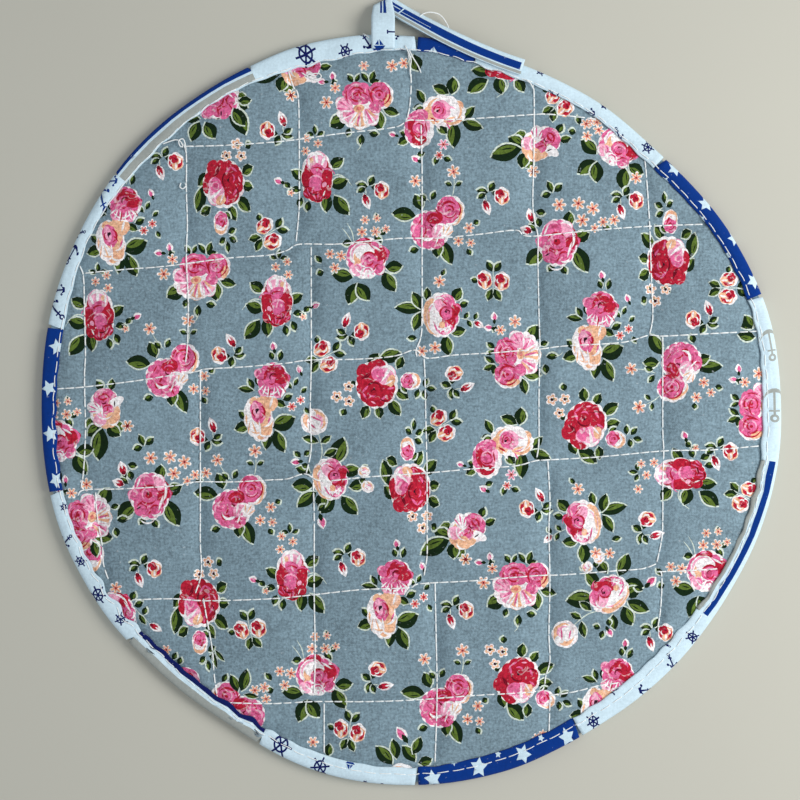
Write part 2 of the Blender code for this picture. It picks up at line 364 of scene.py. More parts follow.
def read_grid(grid, x, y):
    """The grid's value between its own points, by two-way linear steps."""
    column = (np.asarray(x) - GRID_SIDE[0]) / GRID_STEP
    row = (np.asarray(y) - GRID_SIDE[0]) / GRID_STEP
    c = np.clip(column.astype(int), 0, len(GRID_SIDE) - 2)
    r = np.clip(row.astype(int), 0, len(GRID_SIDE) - 2)
    t, u = column - c, row - r
    return ((grid[r, c] * (1 - t) + grid[r, c + 1] * t) * (1 - u)
            + (grid[r + 1, c] * (1 - t) + grid[r + 1, c + 1] * t) * u)


def quilt_top(x, y, puff):
    """Height of the quilted top, from its grid."""
    return read_grid(relief(puff)[0], x, y)


def seam_distance(x, y):
    """Distance to the nearest seam, from the grid."""
    return read_grid(relief(PUFF)[1], x, y)


def top_normals(x, y, puff):
    """Unit normals of the quilted top: (-slope right, -slope up, 1), from its grid."""
    up, right = np.gradient(relief(puff)[0], GRID_STEP)
    normal = np.stack([-read_grid(right, x, y), -read_grid(up, x, y), np.ones_like(x)], 1)
    return normal / np.linalg.norm(normal, axis=1)[:, None]


# --- meshes ------------------------------------------------------------------

WELD_REACH = 2e-6  # metres between two points that are made one
CUT_REACH = 1e-4  # millimetres between two that are one when cloth is cut


def make_piece(name, points, faces, materials, normals=None):
    """A mesh object at the origin from points in millimetres, with normals if given."""
    mesh = bpy.data.meshes.new(name)
    mesh.from_pydata((np.asarray(points) * MM).tolist(), [], faces)
    for material in materials:
        mesh.materials.append(material)
    mesh.shade_smooth()
    obj = bpy.data.objects.new(name, mesh)
    bpy.context.scene.collection.objects.link(obj)
    if normals is not None:
        mesh.normals_split_custom_set_from_vertices(normals.tolist())
    return obj


def paint(obj, face_inks, sides, inks):
    """Gives each face's corners its ink, as the colour attribute "ink", and each face
    the strength of its brush strokes, as "strokes"."""
    layer = obj.data.color_attributes.new("ink", "FLOAT_COLOR", "CORNER")
    layer.data.foreach_set("color", np.repeat(inks[face_inks], sides, axis=0).ravel())
    strokes = obj.data.attributes.new("strokes", "FLOAT", "FACE")
    brushed = np.array([BRUSHED.get(ink, 0.0) for ink in range(len(INKS))], np.float32)
    strokes.data.foreach_set("value", brushed[face_inks])


def box_ring(x0, x1, y0, y1, step_x, step_y):
    """A rectangle as an anticlockwise ring of evenly spaced points."""
    x = np.linspace(x0, x1, max(2, round((x1 - x0) / step_x) + 1))
    y = np.linspace(y0, y1, max(2, round((y1 - y0) / step_y) + 1))
    return np.vstack([
        np.stack([x[:-1], np.full(len(x) - 1, y0)], 1),
        np.stack([np.full(len(y) - 1, x1), y[:-1]], 1),
        np.stack([x[:0:-1], np.full(len(x) - 1, y1)], 1),
        np.stack([np.full(len(y) - 1, x0), y[:0:-1]], 1),
    ])


def filled(along, across):
    """A grid of points, at every crossing of places along and across."""
    return np.stack([part.ravel() for part in np.meshgrid(along, across)], 1)


def weld(obj):
    """Joins points that lie on one another."""
    bm = bmesh.new()
    bm.from_mesh(obj.data)
    bmesh.ops.remove_doubles(bm, verts=bm.verts[:], dist=WELD_REACH)
    bm.to_mesh(obj.data)
    bm.free()


def thicken(obj, thickness, offset):
    """Gives a sheet its cloth's thickness."""
    solid = obj.modifiers.new("cloth", "SOLIDIFY")
    solid.thickness = thickness
    solid.offset = offset
    solid.use_quality_normals = True


def inside(points, ring):
    """Which points lie in a closed ring, by counting the sides that a ray crosses."""
    ax, ay = ring.T
    bx, by = np.roll(ring, -1, axis=0).T
    rise = np.where(by == ay, 1.0, by - ay)
    found = np.zeros(len(points), bool)
    for low in range(0, len(points), BATCH):
        x, y = points[low:low + BATCH].T[:, :, None]
        crossed = ((ay > y) != (by > y)) & (x < ax + (y - ay) * (bx - ax) / rise)
        found[low:low + BATCH] = crossed.sum(1) % 2 == 1
    return found


def cut_cloth(outline, points, shapes):
    """Triangles of the cloth inside an outline, cut along the edges of the printed
    shapes that show. Returns points, triangles, and for each triangle the ink of the
    last shape over its middle, or the ground. shapes are (ink, ring of points), later
    ones on top. The rings alone are triangulated first; the edges where two inks meet
    are kept, and triangulated again with the points."""
    rings = [outline] + [ring for _, ring in shapes]
    sizes = np.array([len(ring) for ring in rings])
    first = np.repeat(np.r_[0, np.cumsum(sizes)[:-1]], sizes)
    number = np.arange(sizes.sum())
    after = first + (number - first + 1) % np.repeat(sizes, sizes)
    coords, edges = np.vstack(rings), np.stack([number, after], 1)
    if shapes:
        flat, faces, inks = triangles(coords, edges, outline, shapes)
        edges = ink_edges(faces, inks)
        used, edges = np.unique(edges, return_inverse=True)
        coords, edges = flat[used], edges.reshape(-1, 2)
    return triangles(np.vstack([coords, points]), edges, outline, shapes)


def triangles(coords, edges, outline, shapes):
    """Triangles through points and edges inside an outline, and their inks."""
    made = delaunay_2d_cdt(coords.tolist(), edges.tolist(), [], 0, CUT_REACH, False)
    flat, faces = np.array(made[0], float), np.array(made[2])
    middle = flat[faces].mean(1)
    keep = inside(middle, outline)
    faces, middle = faces[keep], middle[keep]
    used, faces = np.unique(faces, return_inverse=True)
    inks = np.full(len(middle), GROUND)
    order = np.argsort(middle[:, 0])
    across = middle[order, 0]
    for ink, ring in shapes:
        low, high = ring.min(0), ring.max(0)
        near = order[np.searchsorted(across, low[0]):np.searchsorted(across, high[0])]
        near = near[(middle[near, 1] > low[1]) & (middle[near, 1] < high[1])]
        if len(near):
            inks[near[inside(middle[near], ring)]] = ink
    return flat[used], faces.reshape(-1, 3), inks


def ink_edges(faces, inks):
    """Edges with a different ink on either side, or with a triangle on one side."""
    sides = np.sort(np.vstack([faces[:, (0, 1)], faces[:, (1, 2)], faces[:, (2, 0)]]), 1)
    owner = np.tile(inks, 3)
    order = np.lexsort(sides.T)
    sides, owner = sides[order], owner[order]
    twin = np.r_[(sides[1:] == sides[:-1]).all(1), False]
    alone = ~twin & ~np.r_[False, twin[:-1]]
    return sides[alone | (twin & (owner != np.r_[owner[1:], -1]))]


# --- print: inks and shapes ----------------------------------------------------
# A figure is a list of (ink, ring of points), in steps right and down as on the plan.
# Angles are in degrees anticlockwise from the right. Each shape is a figure of its own.

INKS = ("ground", "outline", "cream", "peach", "salmon", "light_pink", "pink", "red", "dark_red",
        "near_black", "dark_green", "olive", "white_cloth", "blue", "navy", "grey")
(GROUND, PALE, CREAM, PEACH, SALMON, LIGHT, PINK, RED, DARK_RED, BLACK, GREEN, OLIVE, WHITE,
 BLUE, NAVY, GREY) = range(len(INKS))
# How strongly the inks of the petals show brush strokes
BRUSHED = {CREAM: 0.26, PEACH: 0.36, SALMON: 0.2, LIGHT: 0.45, PINK: 0.60, RED: 0.42,
           DARK_RED: 0.2}


def join(*figures):
    """One figure of several, the later ones on top."""
    return [shape for figure in figures for shape in figure]


def placed(px, py, x, y, turn):
    """Points round 0, 0 turned anticlockwise, then moved to x, y."""
    c, s = math.cos(math.radians(turn)), math.sin(math.radians(turn))
    return np.stack([x + px * c + py * s, y - px * s + py * c], 1)


def oval(ink, x, y, wide, tall, turn=0.0, lobes=0, depth=0.13, spacing=2.0):
    """An ellipse; with lobes, its radius is cut between them by
    depth * (1 - |sin(lobes * angle / 2)|^0.7)."""
    count = int(np.clip((wide + tall) * 1.57 / spacing, 7, 34))
    if lobes:
        count = max(count, lobes * 4)
    a = np.arange(count) * 2 * np.pi / count
    r = 1 - depth * (1 - np.abs(np.sin(lobes * a / 2)) ** 0.7) if lobes else 1.0
    return [(ink, placed(wide / 2 * r * np.cos(a), tall / 2 * r * np.sin(a), x, y, turn))]


def blade(ink, x, y, length, wide, heading, bend=0.0, fall=1.0, count=None):
    """A leaf or petal from its foot at x, y: its half width is sin(pi * t^fall) of
    the length t, round a middle line that turns by bend. fall under 1 puts the
    widest place nearer the foot, over 1 nearer the tip."""
    count = count or int(np.clip(length / 3.0, 4, 8))
    t = np.linspace(0, 1, count)
    way = np.radians(heading + bend * (t - 0.5))
    step = np.r_[0, np.diff(t)] * length
    mx, my = x + np.cumsum(step * np.cos(way)), y - np.cumsum(step * np.sin(way))
    half = wide / 2 * np.sin(np.pi * t**fall) ** 0.85
    left = np.stack([mx - half * np.sin(way), my - half * np.cos(way)], 1)
    right = np.stack([mx + half * np.sin(way), my + half * np.cos(way)], 1)
    return [(ink, np.vstack([left, right[-2:0:-1]]))]


def arc(ink, x, y, radius, start, sweep, thick, squash=1.0, turn=0.0):
    """A stroke along part of a circle: its half width is sin(pi * t) of the length t."""
    count = int(np.clip(radius * math.radians(abs(sweep)) / 2.3, 4, 10))
    t = np.linspace(0, 1, count)
    a = np.radians(start + sweep * t)
    half = thick / 2 * np.sin(np.pi * t)
    rows = []
    for r in (radius + half, (radius - half)[-2:0:-1]):
        b = a if len(r) == count else a[-2:0:-1]
        rows.append(np.stack([r * np.cos(b), -r * np.sin(b) * squash], 1))
    return [(ink, placed(*np.vstack(rows).T, x, y, turn))]


def star_ring(ink, x, y, size, points, inner, turn=90.0, round_tips=0):
    """A star: its radius goes from 1 to inner and back for each point. With round_tips
    it is inner + (1 - inner) * |cos(points * angle / 2)|^0.75, which makes petals."""
    count = points * 4 if round_tips else points * 2
    a = np.arange(count) * 2 * np.pi / count
    if round_tips:
        r = inner + (1 - inner) * np.abs(np.cos(points * a / 2)) ** 0.75
    else:
        r = np.where(np.arange(count) % 2 == 0, 1.0, inner)
    a = a + math.radians(turn)
    return [(ink, np.stack([x + size / 2 * r * np.cos(a), y - size / 2 * r * np.sin(a)], 1))]


def moved(figure, x, y, turn=0.0, flip=False, size=1.0):
    """A figure drawn round 0, 0, mirrored or not, turned, sized and put in its place."""
    c, s = math.cos(math.radians(turn)) * size, math.sin(math.radians(turn)) * size
    side = -1.0 if flip else 1.0
    return [(ink, np.stack([x + ring[:, 0] * side * c + ring[:, 1] * s,
                            y - ring[:, 0] * side * s + ring[:, 1] * c], 1))
            for ink, ring in figure]


def stretched(figure, across, down):
    """A figure made wider or narrower, taller or shorter, about 0, 0."""
    return [(ink, ring * (across, down)) for ink, ring in figure]


def petal(ink, x, y, wide, tall, turn, rim=None, streaks=None, fold=None):
    """A rounded petal whose tip is up before it is turned: its oval, streaks fanning
    from its foot, a bright rim along its tip and a dark fold along its foot."""
    figure = oval(ink, 0, 0, wide, tall, 0, 3 if wide > 12 else 0, 0.1, 2.5)
    if streaks:
        for lean, share in ((-27, 0.62), (0, 0.74), (27, 0.62)):
            figure += blade(streaks, 0.32 * wide * lean / 60, tall * 0.30, tall * share,
                            wide * 0.15, 90 - lean, fall=1.5)
    if rim:
        figure += arc(rim, 0, 0, tall * 0.40, 25, 130, wide * 0.17)
    if fold:
        figure += arc(fold, 0, -tall * 0.04, tall * 0.40, 205, 130, wide * 0.13)
    return moved(figure, x, y, turn)


def swirl(x, y, size, turn):
    """A rose's heart: crescents that turn inwards round a dark eye."""
    r = size / 2
    return moved(join(
        arc(RED, 0, 0, r * 0.86, 10, 150, r * 0.26),
        arc(RED, 0, 0, r * 0.80, 200, 130, r * 0.24),
        arc(LIGHT, 0, 0, r * 0.58, 100, 140, r * 0.20),
        arc(RED, 0, 0, r * 0.46, -60, 170, r * 0.24),
        oval(RED, 0, r * 0.06, r * 0.42, r * 0.34, 20)), x, y, turn)


# --- print: leaves, small flowers and buds ---------------------------------------


def leaf(x, y, length, wide, heading, lit):
    """A pointed leaf with a pale edge: dark green, its lit half olive, and a vein if it
    is long."""
    length, wide, bend = length * 1.05, wide * 1.14, 12.0
    side = 0.20 * wide * lit
    c, s = math.cos(math.radians(heading)), math.sin(math.radians(heading))
    ox, oy = -side * s, -side * c
    figure = join(
        blade(PALE, x - 0.9 * c + ox * 0.35, y + 0.9 * s + oy * 0.35, length + 1.9, wide + 1.4,
              heading, bend),
        blade(GREEN, x, y, length, wide, heading, bend),
        blade(OLIVE, x + ox + length * 0.14 * c, y + oy - length * 0.14 * s, length * 0.80,
              wide * 0.46, heading, bend * 0.9, 0.85))
    if length > 12:
        figure += blade(GREEN, x + length * 0.22 * c + ox * 0.9, y - length * 0.22 * s + oy * 0.9,
                        length * 0.42, wide * 0.10, heading + 9 * lit, bend, count=4)
    return figure


def small_leaf(x, y, length, wide, heading, lit):
    """A leaf of a spray: pale edge on one side, dark green, an olive touch."""
    length, wide = length * 1.08, wide * 1.16
    c, s = math.cos(math.radians(heading)), math.sin(math.radians(heading))
    ox, oy = -0.22 * wide * lit * s, -0.22 * wide * lit * c
    return join(
        blade(PALE, x + ox * 0.8, y + oy * 0.8, length + 1.3, wide + 1.2, heading, 10, count=5),
        blade(GREEN, x, y, length, wide, heading, 10, count=5),
        blade(OLIVE, x + ox + length * 0.3 * c, y + oy - length * 0.3 * s, length * 0.55,
              wide * 0.42, heading, 8, count=4))


def foliage(*rows):
    """Leaves from rows of (foot right, foot down, length, width, heading), lit on
    either side by turns."""
    figure = []
    for number, row in enumerate(rows):
        draw = leaf if row[2] > 11.5 else small_leaf
        figure += draw(*row, 1 if number % 2 else -1)
    return figure


def stem(*points, thick=1.0):
    """A thin pale curved line through points: its half width is a sine's half wave."""
    p = smooth_run(points, 3.0)
    side = np.gradient(p, axis=0)[:, ::-1] * (1, -1)
    side /= np.linalg.norm(side, axis=1)[:, None]
    half = thick / 2 * np.sin(np.pi * np.linspace(0.08, 0.92, len(p)))[:, None]
    return [(PALE, np.vstack([p + side * half, (p - side * half)[::-1]]))]


def star_flower(x, y, size, turn=0.0, petals=6, ink=PEACH, heart=SALMON):
    """A small open flower with a white edge, coloured petals and a warm heart."""
    return join(
        star_ring(CREAM, x, y, size * 1.16, petals, 0.4, turn, 1),
        star_ring(ink, x, y, size * 0.95, petals, 0.34, turn, 1),
        star_ring(heart, x, y, size * 0.66, petals, 0.36, turn),
        oval(DARK_RED, x, y, size * 0.16, size * 0.16))


def star_flowers(*rows):
    """Star flowers from rows of (right, down, size, turn)."""
    return join(*(star_flower(*row) for row in rows))


def cream_flower(x, y, size, turn):
    """A five-petalled cream flower with a dark eye."""
    return join(
        star_ring(CREAM, x, y, size * 1.1, 5, 0.6, turn, 1),
        star_ring(PEACH, x, y, size * 0.86, 5, 0.6, turn, 1),
        star_ring(CREAM, x, y, size * 0.5, 5, 0.55, turn, 1),
        oval(BLACK, x, y, size * 0.3, size * 0.26, 30),
        oval(OLIVE, x + size * 0.14, y + size * 0.1, size * 0.16, size * 0.14))


def red_star(x, y, size, turn=0.0):
    """A small open flower like a star flower, with a red heart."""
    return join(
        star_ring(CREAM, x, y, size * 1.2, 6, 0.5, turn, 1),
        star_ring(SALMON, x, y, size * 0.9, 6, 0.45, turn, 1),
        star_ring(RED, x, y, size * 0.45, 5, 0.5, turn))


def striped_bud(x, y, wide, tall, turn):
    """A rosebud seen from the side: peach cup, white and red stripes, red crown."""
    w, t = wide, tall
    return moved(join(
        oval(CREAM, 0, 0, w + 1.0, t + 1.0, 0, 6, 0.14),
        oval(PEACH, w * 0.05, t * 0.07, w * 0.88, t * 0.84, 0, 5, 0.14),
        oval(RED, -w * 0.13, -t * 0.13, w * 0.62, t * 0.56, 24, 4, 0.22),
        blade(RED, w * 0.12, t * 0.38, t * 0.56, w * 0.26, 62, 40),
        blade(RED, -w * 0.2, t * 0.34, t * 0.44, w * 0.2, 118, -30),
        arc(CREAM, w * 0.04, -t * 0.04, w * 0.25, -70, 150, w * 0.13),
        arc(CREAM, -w * 0.14, -t * 0.02, w * 0.17, 130, 150, w * 0.1),
        blade(CREAM, -w * 0.02, t * 0.46, t * 0.4, w * 0.14, 82, 20),
        arc(RED, w * 0.02, -t * 0.1, w * 0.13, 0, 230, w * 0.12),
        blade(DARK_RED, -w * 0.16, -t * 0.2, w * 0.34, w * 0.09, 330)), x, y, turn)


def narrow_bud(x, y, length, wide, heading):
    """A closed red bud on a green cup, hanging the way it heads."""
    cx, sy = math.cos(math.radians(heading)), -math.sin(math.radians(heading))
    fx, fy = x - cx * length / 2, y - sy * length / 2
    return join(
        blade(CREAM, fx - cx, fy - sy, length + 3.4, wide + 2.2, heading, 0, 0.9),
        blade(RED, fx, fy, length * 0.92, wide * 0.9, heading, 0, 0.9),
        blade(CREAM, fx + cx * length * 0.5, fy + sy * length * 0.5, length * 0.46, wide * 0.26,
              heading, 0),
        blade(DARK_RED, fx, fy, length * 0.34, wide * 0.66, heading, 0, 0.9, 4))


def pink_bud(x, y, length, wide, heading):
    """A tiny pink bud with a white side in a green cup; its foot is behind."""
    cx, sy = math.cos(math.radians(heading)), -math.sin(math.radians(heading))
    fx, fy = x - cx * length / 2, y - sy * length / 2
    return join(
        blade(CREAM, fx, fy, length + 1.6, wide + 1.6, heading, 0, 0.9, 5),
        blade(PINK, fx + sy * 0.6, fy - cx * 0.6, length, wide * 0.72, heading, 0, 1.0, 5),
        blade(GREEN, fx - cx * 3.0, fy - sy * 3.0, length * 0.72, wide * 0.62, heading, 0, 0.9, 4))


def cream_bud(x, y, wide, tall, turn):
    """A pale rosebud: cream and peach with a few pink lines."""
    return moved(join(
        oval(CREAM, 0, 0, wide + 2, tall + 2, 0, 7, 0.08),
        oval(PEACH, -wide * 0.05, 0, wide * 0.86, tall * 0.88, 0, 6, 0.1),
        oval(CREAM, wide * 0.06, -tall * 0.05, wide * 0.62, tall * 0.66, 10, 5, 0.1),
        oval(CREAM, -wide * 0.22, tall * 0.22, wide * 0.36, tall * 0.34, 30),
        arc(LIGHT, 0, -tall * 0.05, wide * 0.26, 60, 170, wide * 0.1),
        blade(PINK, -wide * 0.12, tall * 0.26, tall * 0.52, wide * 0.09, 94),
        blade(PINK, wide * 0.14, tall * 0.22, tall * 0.42, wide * 0.08, 78),
        blade(LIGHT, -wide * 0.32, tall * 0.06, tall * 0.34, wide * 0.08, 80),
        arc(PEACH, 0, tall * 0.05, tall * 0.36, 230, 90, wide * 0.1)), x, y, turn)


def cup_rose(x, y, wide, tall, turn):
    """A small pink rose, half open: pink cup, white and peach outer petal below."""
    return moved(join(
        oval(CREAM, 0, 0, wide + 1.4, tall + 1.4, 0, 7, 0.08),
        oval(PEACH, wide * 0.06, tall * 0.14, wide * 0.88, tall * 0.7, 0, 5, 0.12),
        oval(CREAM, wide * 0.02, tall * 0.04, wide * 0.84, tall * 0.62, 0, 5, 0.12),
        oval(PINK, -wide * 0.02, -tall * 0.14, wide * 0.92, tall * 0.72, 0, 6, 0.14),
        blade(RED, -wide * 0.3, -tall * 0.16, tall * 0.56, wide * 0.13, 300, 60),
        arc(RED, wide * 0.04, -tall * 0.16, wide * 0.24, -40, 190, wide * 0.12),
        arc(LIGHT, wide * 0.02, -tall * 0.08, wide * 0.36, 10, 110, wide * 0.12),
        blade(CREAM, -wide * 0.08, tall * 0.2, wide * 0.5, wide * 0.12, 20, 40),
        arc(RED, 0, -tall * 0.12, wide * 0.1, 150, 200, wide * 0.12)), x, y, turn)


# --- print: roses, each drawn round its own middle -------------------------------

# Red rose standing upright, one pale pink petal at its top.
TALL_RED_ROSE = join(
    oval(CREAM, 0, 0, 33, 53, 0, 11, 0.07), oval(RED, 0.5, 2, 30, 48, 0, 11, 0.1),
    petal(LIGHT, 0, -15, 22, 21, 6, rim=CREAM, streaks=CREAM), oval(PEACH, -6.5, -15, 6, 9, -20),
    blade(CREAM, -7, -8, 13, 2.6, 98), oval(PINK, 1.5, -6.5, 21, 12, -38, 5, 0.1),
    arc(RED, -1, -1, 8.5, 10, 130, 2.0, 1.0, -20), arc(DARK_RED, 7, -4, 7, -80, 110, 1.8),
    petal(RED, -9.5, 3, 12, 20, 12, fold=DARK_RED), petal(RED, 10, 1, 11, 22, -8, rim=PINK),
    petal(PINK, -1.5, 7, 13, 20, -8, rim=LIGHT), arc(CREAM, 7, 9.5, 4.6, -150, 170, 2.4),
    oval(LIGHT, 7.5, 8, 4.5, 6, -20), petal(RED, -8, 16, 12, 12, 20, streaks=PINK),
    petal(RED, 1, 20, 12, 12, 0, streaks=PINK, fold=DARK_RED),
    petal(RED, 9, 16, 11, 13, -16, fold=DARK_RED), arc(DARK_RED, -2, 11, 7, 190, 120, 1.6),
    blade(CREAM, 6, 20, 7, 1.4, 70))

# A wide red rose whose upper right petals are pink and white.
RED_CLUSTER = join(
    oval(CREAM, 0, 0, 43, 50, 0, 13, 0.07), oval(RED, -1, 0, 40, 47, 0, 12, 0.1),
    petal(RED, -13, -12, 15, 17, 30, fold=DARK_RED), petal(RED, 1, -18, 17, 14, 0, fold=DARK_RED),
    petal(LIGHT, 9, -9, 20, 21, -28, rim=CREAM, streaks=CREAM),
    petal(PINK, 1, -10, 13, 17, 18, rim=LIGHT), oval(PEACH, 14, -3, 8, 13, -20),
    blade(CREAM, 4, -2, 15, 2.2, 52), blade(PINK, 2, -1, 15, 2.4, 66),
    blade(CREAM, 7, 1, 11, 2.0, 28), petal(RED, -10, 4, 19, 19, 34), petal(RED, 7, 9, 21, 17, -20),
    petal(RED, -3, 15, 20, 16, 180), arc(DARK_RED, -3, 6, 7.5, 20, 150, 2.0),
    arc(PINK, -4, 8, 4.6, 200, 120, 2.2), arc(DARK_RED, -3, 9, 3.4, 20, 160, 1.6),
    blade(PINK, -15, 9, 10, 2.6, 50), blade(PINK, 3, 17, 10, 2.4, 40),
    blade(PINK, -10, 16, 9, 2.2, 120), blade(PINK, 10, 5, 8, 2.4, 10),
    arc(DARK_RED, 8, 11, 6, 200, 120, 1.6), blade(DARK_RED, -16, -4, 11, 1.8, 40),
    blade(LIGHT, -1, 20, 6, 1.8, 150), oval(BLACK, -3, 5, 2.4, 2.0))

# Two pink roses grown together, the lower one wider with a pale side.
DOUBLE_PINK_ROSE = join(
    oval(CREAM, -7, 8, 40, 41, 10, 13, 0.08), oval(CREAM, 13, -11, 30, 32, 0, 9, 0.08),
    oval(PEACH, 19, -8, 13, 24, -12, 5, 0.1), oval(CREAM, 16, -8, 14, 24, -12, 5, 0.1),
    oval(PINK, -8, 8, 37, 38, 10, 12, 0.1), oval(PINK, 11, -12, 24, 28, 0, 8, 0.1),
    petal(RED, -2, -4, 17, 13, 14, rim=PINK), arc(RED, -3, 0, 8, 15, 160, 2.6),
    arc(DARK_RED, -3, 1, 4.2, 170, 190, 2.0), arc(PINK, -3, 1, 5.6, 30, 130, 1.8),
    petal(LIGHT, 3, 10, 17, 19, -36, rim=CREAM, streaks=CREAM),
    petal(CREAM, 10, 9, 11, 15, -30, streaks=PEACH),
    petal(PINK, -17, 8, 14, 17, 64, rim=LIGHT, fold=RED),
    petal(PINK, -13, 19, 14, 14, 150, fold=RED), petal(PINK, 0, 21, 15, 12, 190, fold=RED),
    arc(CREAM, -9, 10, 8, 190, 130, 2.4), arc(RED, -12, 14, 5, 150, 150, 1.8),
    blade(CREAM, -3, 15, 12, 2.2, 200), blade(RED, -1, 18, 8, 1.6, 300),
    blade(CREAM, 2, 13, 10, 1.8, 250), blade(RED, -19, 3, 9, 1.6, 60),
    swirl(12, -12, 19, 20), arc(RED, 12, -12, 11.4, -70, 120, 1.8),
    arc(RED, 12, -12, 11.0, 120, 70, 1.6), arc(LIGHT, 12, -12, 6.9, -120, 100, 1.5),
    blade(RED, 2, -7, 8, 1.8, 120))

# Pink roses above a fan of white, pink and peach petals.
FAN_ROSE = join(
    oval(CREAM, -3, 8, 44, 36, 0, 14, 0.08), oval(CREAM, 20, -7, 26, 28, 0, 8, 0.08),
    oval(PINK, -3, -9, 32, 24, 0, 9, 0.1), oval(PINK, 18, -8, 24, 26, 0, 8, 0.1),
    oval(PEACH, 27, -2, 7, 14, -16), petal(LIGHT, -17, 2, 15, 19, 58, rim=CREAM, streaks=PINK),
    petal(LIGHT, -12, 13, 15, 18, 118, rim=CREAM, streaks=CREAM),
    petal(PEACH, -1, 18, 16, 18, 178, rim=CREAM, streaks=CREAM),
    petal(LIGHT, 10, 14, 15, 19, 218, rim=CREAM, streaks=CREAM),
    petal(PINK, 14, 5, 13, 13, 260, rim=LIGHT), blade(PINK, -3, 6, 16, 2.6, 214),
    blade(CREAM, -2, 6, 15, 2.6, 236), blade(PINK, 0, 7, 17, 2.2, 256),
    blade(CREAM, 2, 7, 16, 2.4, 278), blade(PINK, 4, 7, 16, 2.2, 300),
    blade(PEACH, 5, 6, 14, 2.6, 318), oval(PEACH, -2, 6, 11, 8, 10), oval(SALMON, -2, 6, 5, 4),
    arc(RED, -1, 2, 12, 35, 120, 2.0), swirl(-4, -8, 17, 0),
    swirl(18, -8, 18, 60), arc(RED, 18, -8, 11, -80, 130, 1.7),
    arc(LIGHT, -4, -8, 10.4, 60, 90, 1.7), blade(RED, 7, -14, 16, 2.2, 290),
    arc(RED, -4, -8, 11, 150, 70, 1.6))

# A cream and peach rose with a pink heart over the shoulder of a pink one.
CREAM_AND_PINK_ROSE = join(
    oval(CREAM, 11, -8, 45, 32, -8, 12, 0.08), oval(CREAM, -14, 10, 31, 40, 0, 11, 0.08),
    oval(PEACH, -1, -4, 20, 18, -30, 6, 0.1), oval(PEACH, 26, -13, 9, 10, 0),
    oval(PEACH, 20, -1, 20, 14, 10, 5, 0.1), oval(CREAM, 17, -8, 26, 22, -10, 8, 0.1),
    arc(PEACH, 8, -8, 13, 100, 120, 3.0), oval(LIGHT, 8, -9, 20, 20, 0, 7, 0.1),
    oval(PINK, 6, -9, 15, 17, 10, 6, 0.1), swirl(6, -9, 12, 80),
    oval(BLACK, 4.5, -8, 3.2, 2.4, 30), arc(PEACH, 18, -8, 10, -70, 120, 2.4),
    arc(PINK, 16, -6, 8, 200, 120, 1.8), blade(PEACH, 10, 2, 14, 3.0, 20),
    blade(LIGHT, 12, -14, 12, 2.2, -20), blade(PINK, 13, 3, 9, 1.8, 300),
    blade(CREAM, 2, 2, 10, 3, 300), oval(PINK, -16, 9, 26, 35, 0, 10, 0.1),
    oval(CREAM, -5, 12, 9, 24, -8, 5, 0.12), oval(LIGHT, -7, 9, 8, 19, -8),
    petal(PINK, -13, -4, 18, 12, 0, rim=LIGHT), petal(RED, -20, 9, 10, 20, 14),
    petal(RED, -14, 21, 16, 11, 190), petal(PINK, -14, 9, 13, 16, 0, rim=LIGHT, fold=RED),
    arc(RED, -14, 8, 4.2, -40, 200, 1.8), arc(CREAM, -12, 14, 7, 200, 110, 2.0),
    blade(RED, -3, -2, 9, 2.4, 330), blade(CREAM, -6, 20, 10, 2.0, 80),
    blade(RED, -8, 2, 12, 1.8, 280), arc(LIGHT, -18, 3, 6, 60, 110, 1.8))

# A long peach rose with a dark heart, and a round pink one above it.
LONG_PEACH_ROSE = moved(join(
    oval(CREAM, -6, 21, 30, 47, 12, 11, 0.08), oval(PEACH, -6, 20, 27, 44, 12, 9, 0.1),
    oval(PEACH, 4, 3, 17, 22, 30, 5, 0.1), petal(CREAM, -11, 28, 12, 22, 200, streaks=PEACH),
    petal(PEACH, 1, 31, 13, 19, 170, rim=CREAM), petal(CREAM, -15, 14, 8, 20, 14),
    oval(PINK, -7, 14, 15, 24, 16, 6, 0.1), oval(LIGHT, -9, 12, 7, 17, 14),
    arc(RED, -7, 14, 7, -70, 150, 2.4), arc(RED, -8, 14, 4.6, 120, 150, 1.8),
    oval(BLACK, -7.5, 12, 4.2, 3.2, 40), blade(BLACK, -8, 16, 6, 1.8, 100),
    arc(CREAM, -2, 20, 9, 270, 120, 2.6), arc(PEACH, -8, 25, 10, 230, 110, 2.0),
    blade(CREAM, -4, 38, 16, 2.4, 96), blade(PINK, 3, 26, 10, 1.8, 70),
    blade(RED, 2, 20, 9, 1.6, 130), blade(CREAM, 5, 10, 12, 2.6, 76)), -2, 0)
PINK_OVER_PEACH_ROSE = LONG_PEACH_ROSE + moved(join(
    oval(CREAM, 3, -19, 35, 39, 0, 11, 0.08), oval(PINK, 2, -20, 32, 36, 0, 10, 0.1),
    petal(PINK, -10, -25, 12, 16, 60, rim=LIGHT, fold=RED),
    petal(RED, 6, -29, 20, 14, -18, rim=PINK), petal(RED, 13, -20, 10, 18, -70, rim=PINK),
    arc(RED, 2, -22, 8.6, 20, 180, 3.2), arc(RED, 2, -22, 7.6, 240, 110, 2.6),
    arc(DARK_RED, 3, -22, 3.8, 20, 220, 2.0), arc(PINK, 3, -22, 5.7, 60, 150, 1.8),
    petal(PINK, -6, -9, 14, 16, 160, rim=LIGHT, streaks=CREAM),
    petal(PINK, 8, -8, 13, 17, 200, rim=LIGHT, streaks=CREAM),
    arc(CREAM, 0, -14, 10, 200, 140, 2.0), blade(RED, 0, -12, 13, 1.8, 262),
    blade(RED, 12, -14, 10, 1.6, 300), blade(CREAM, 15, -10, 11, 2.4, 250)), 3.5, 0, size=0.94)

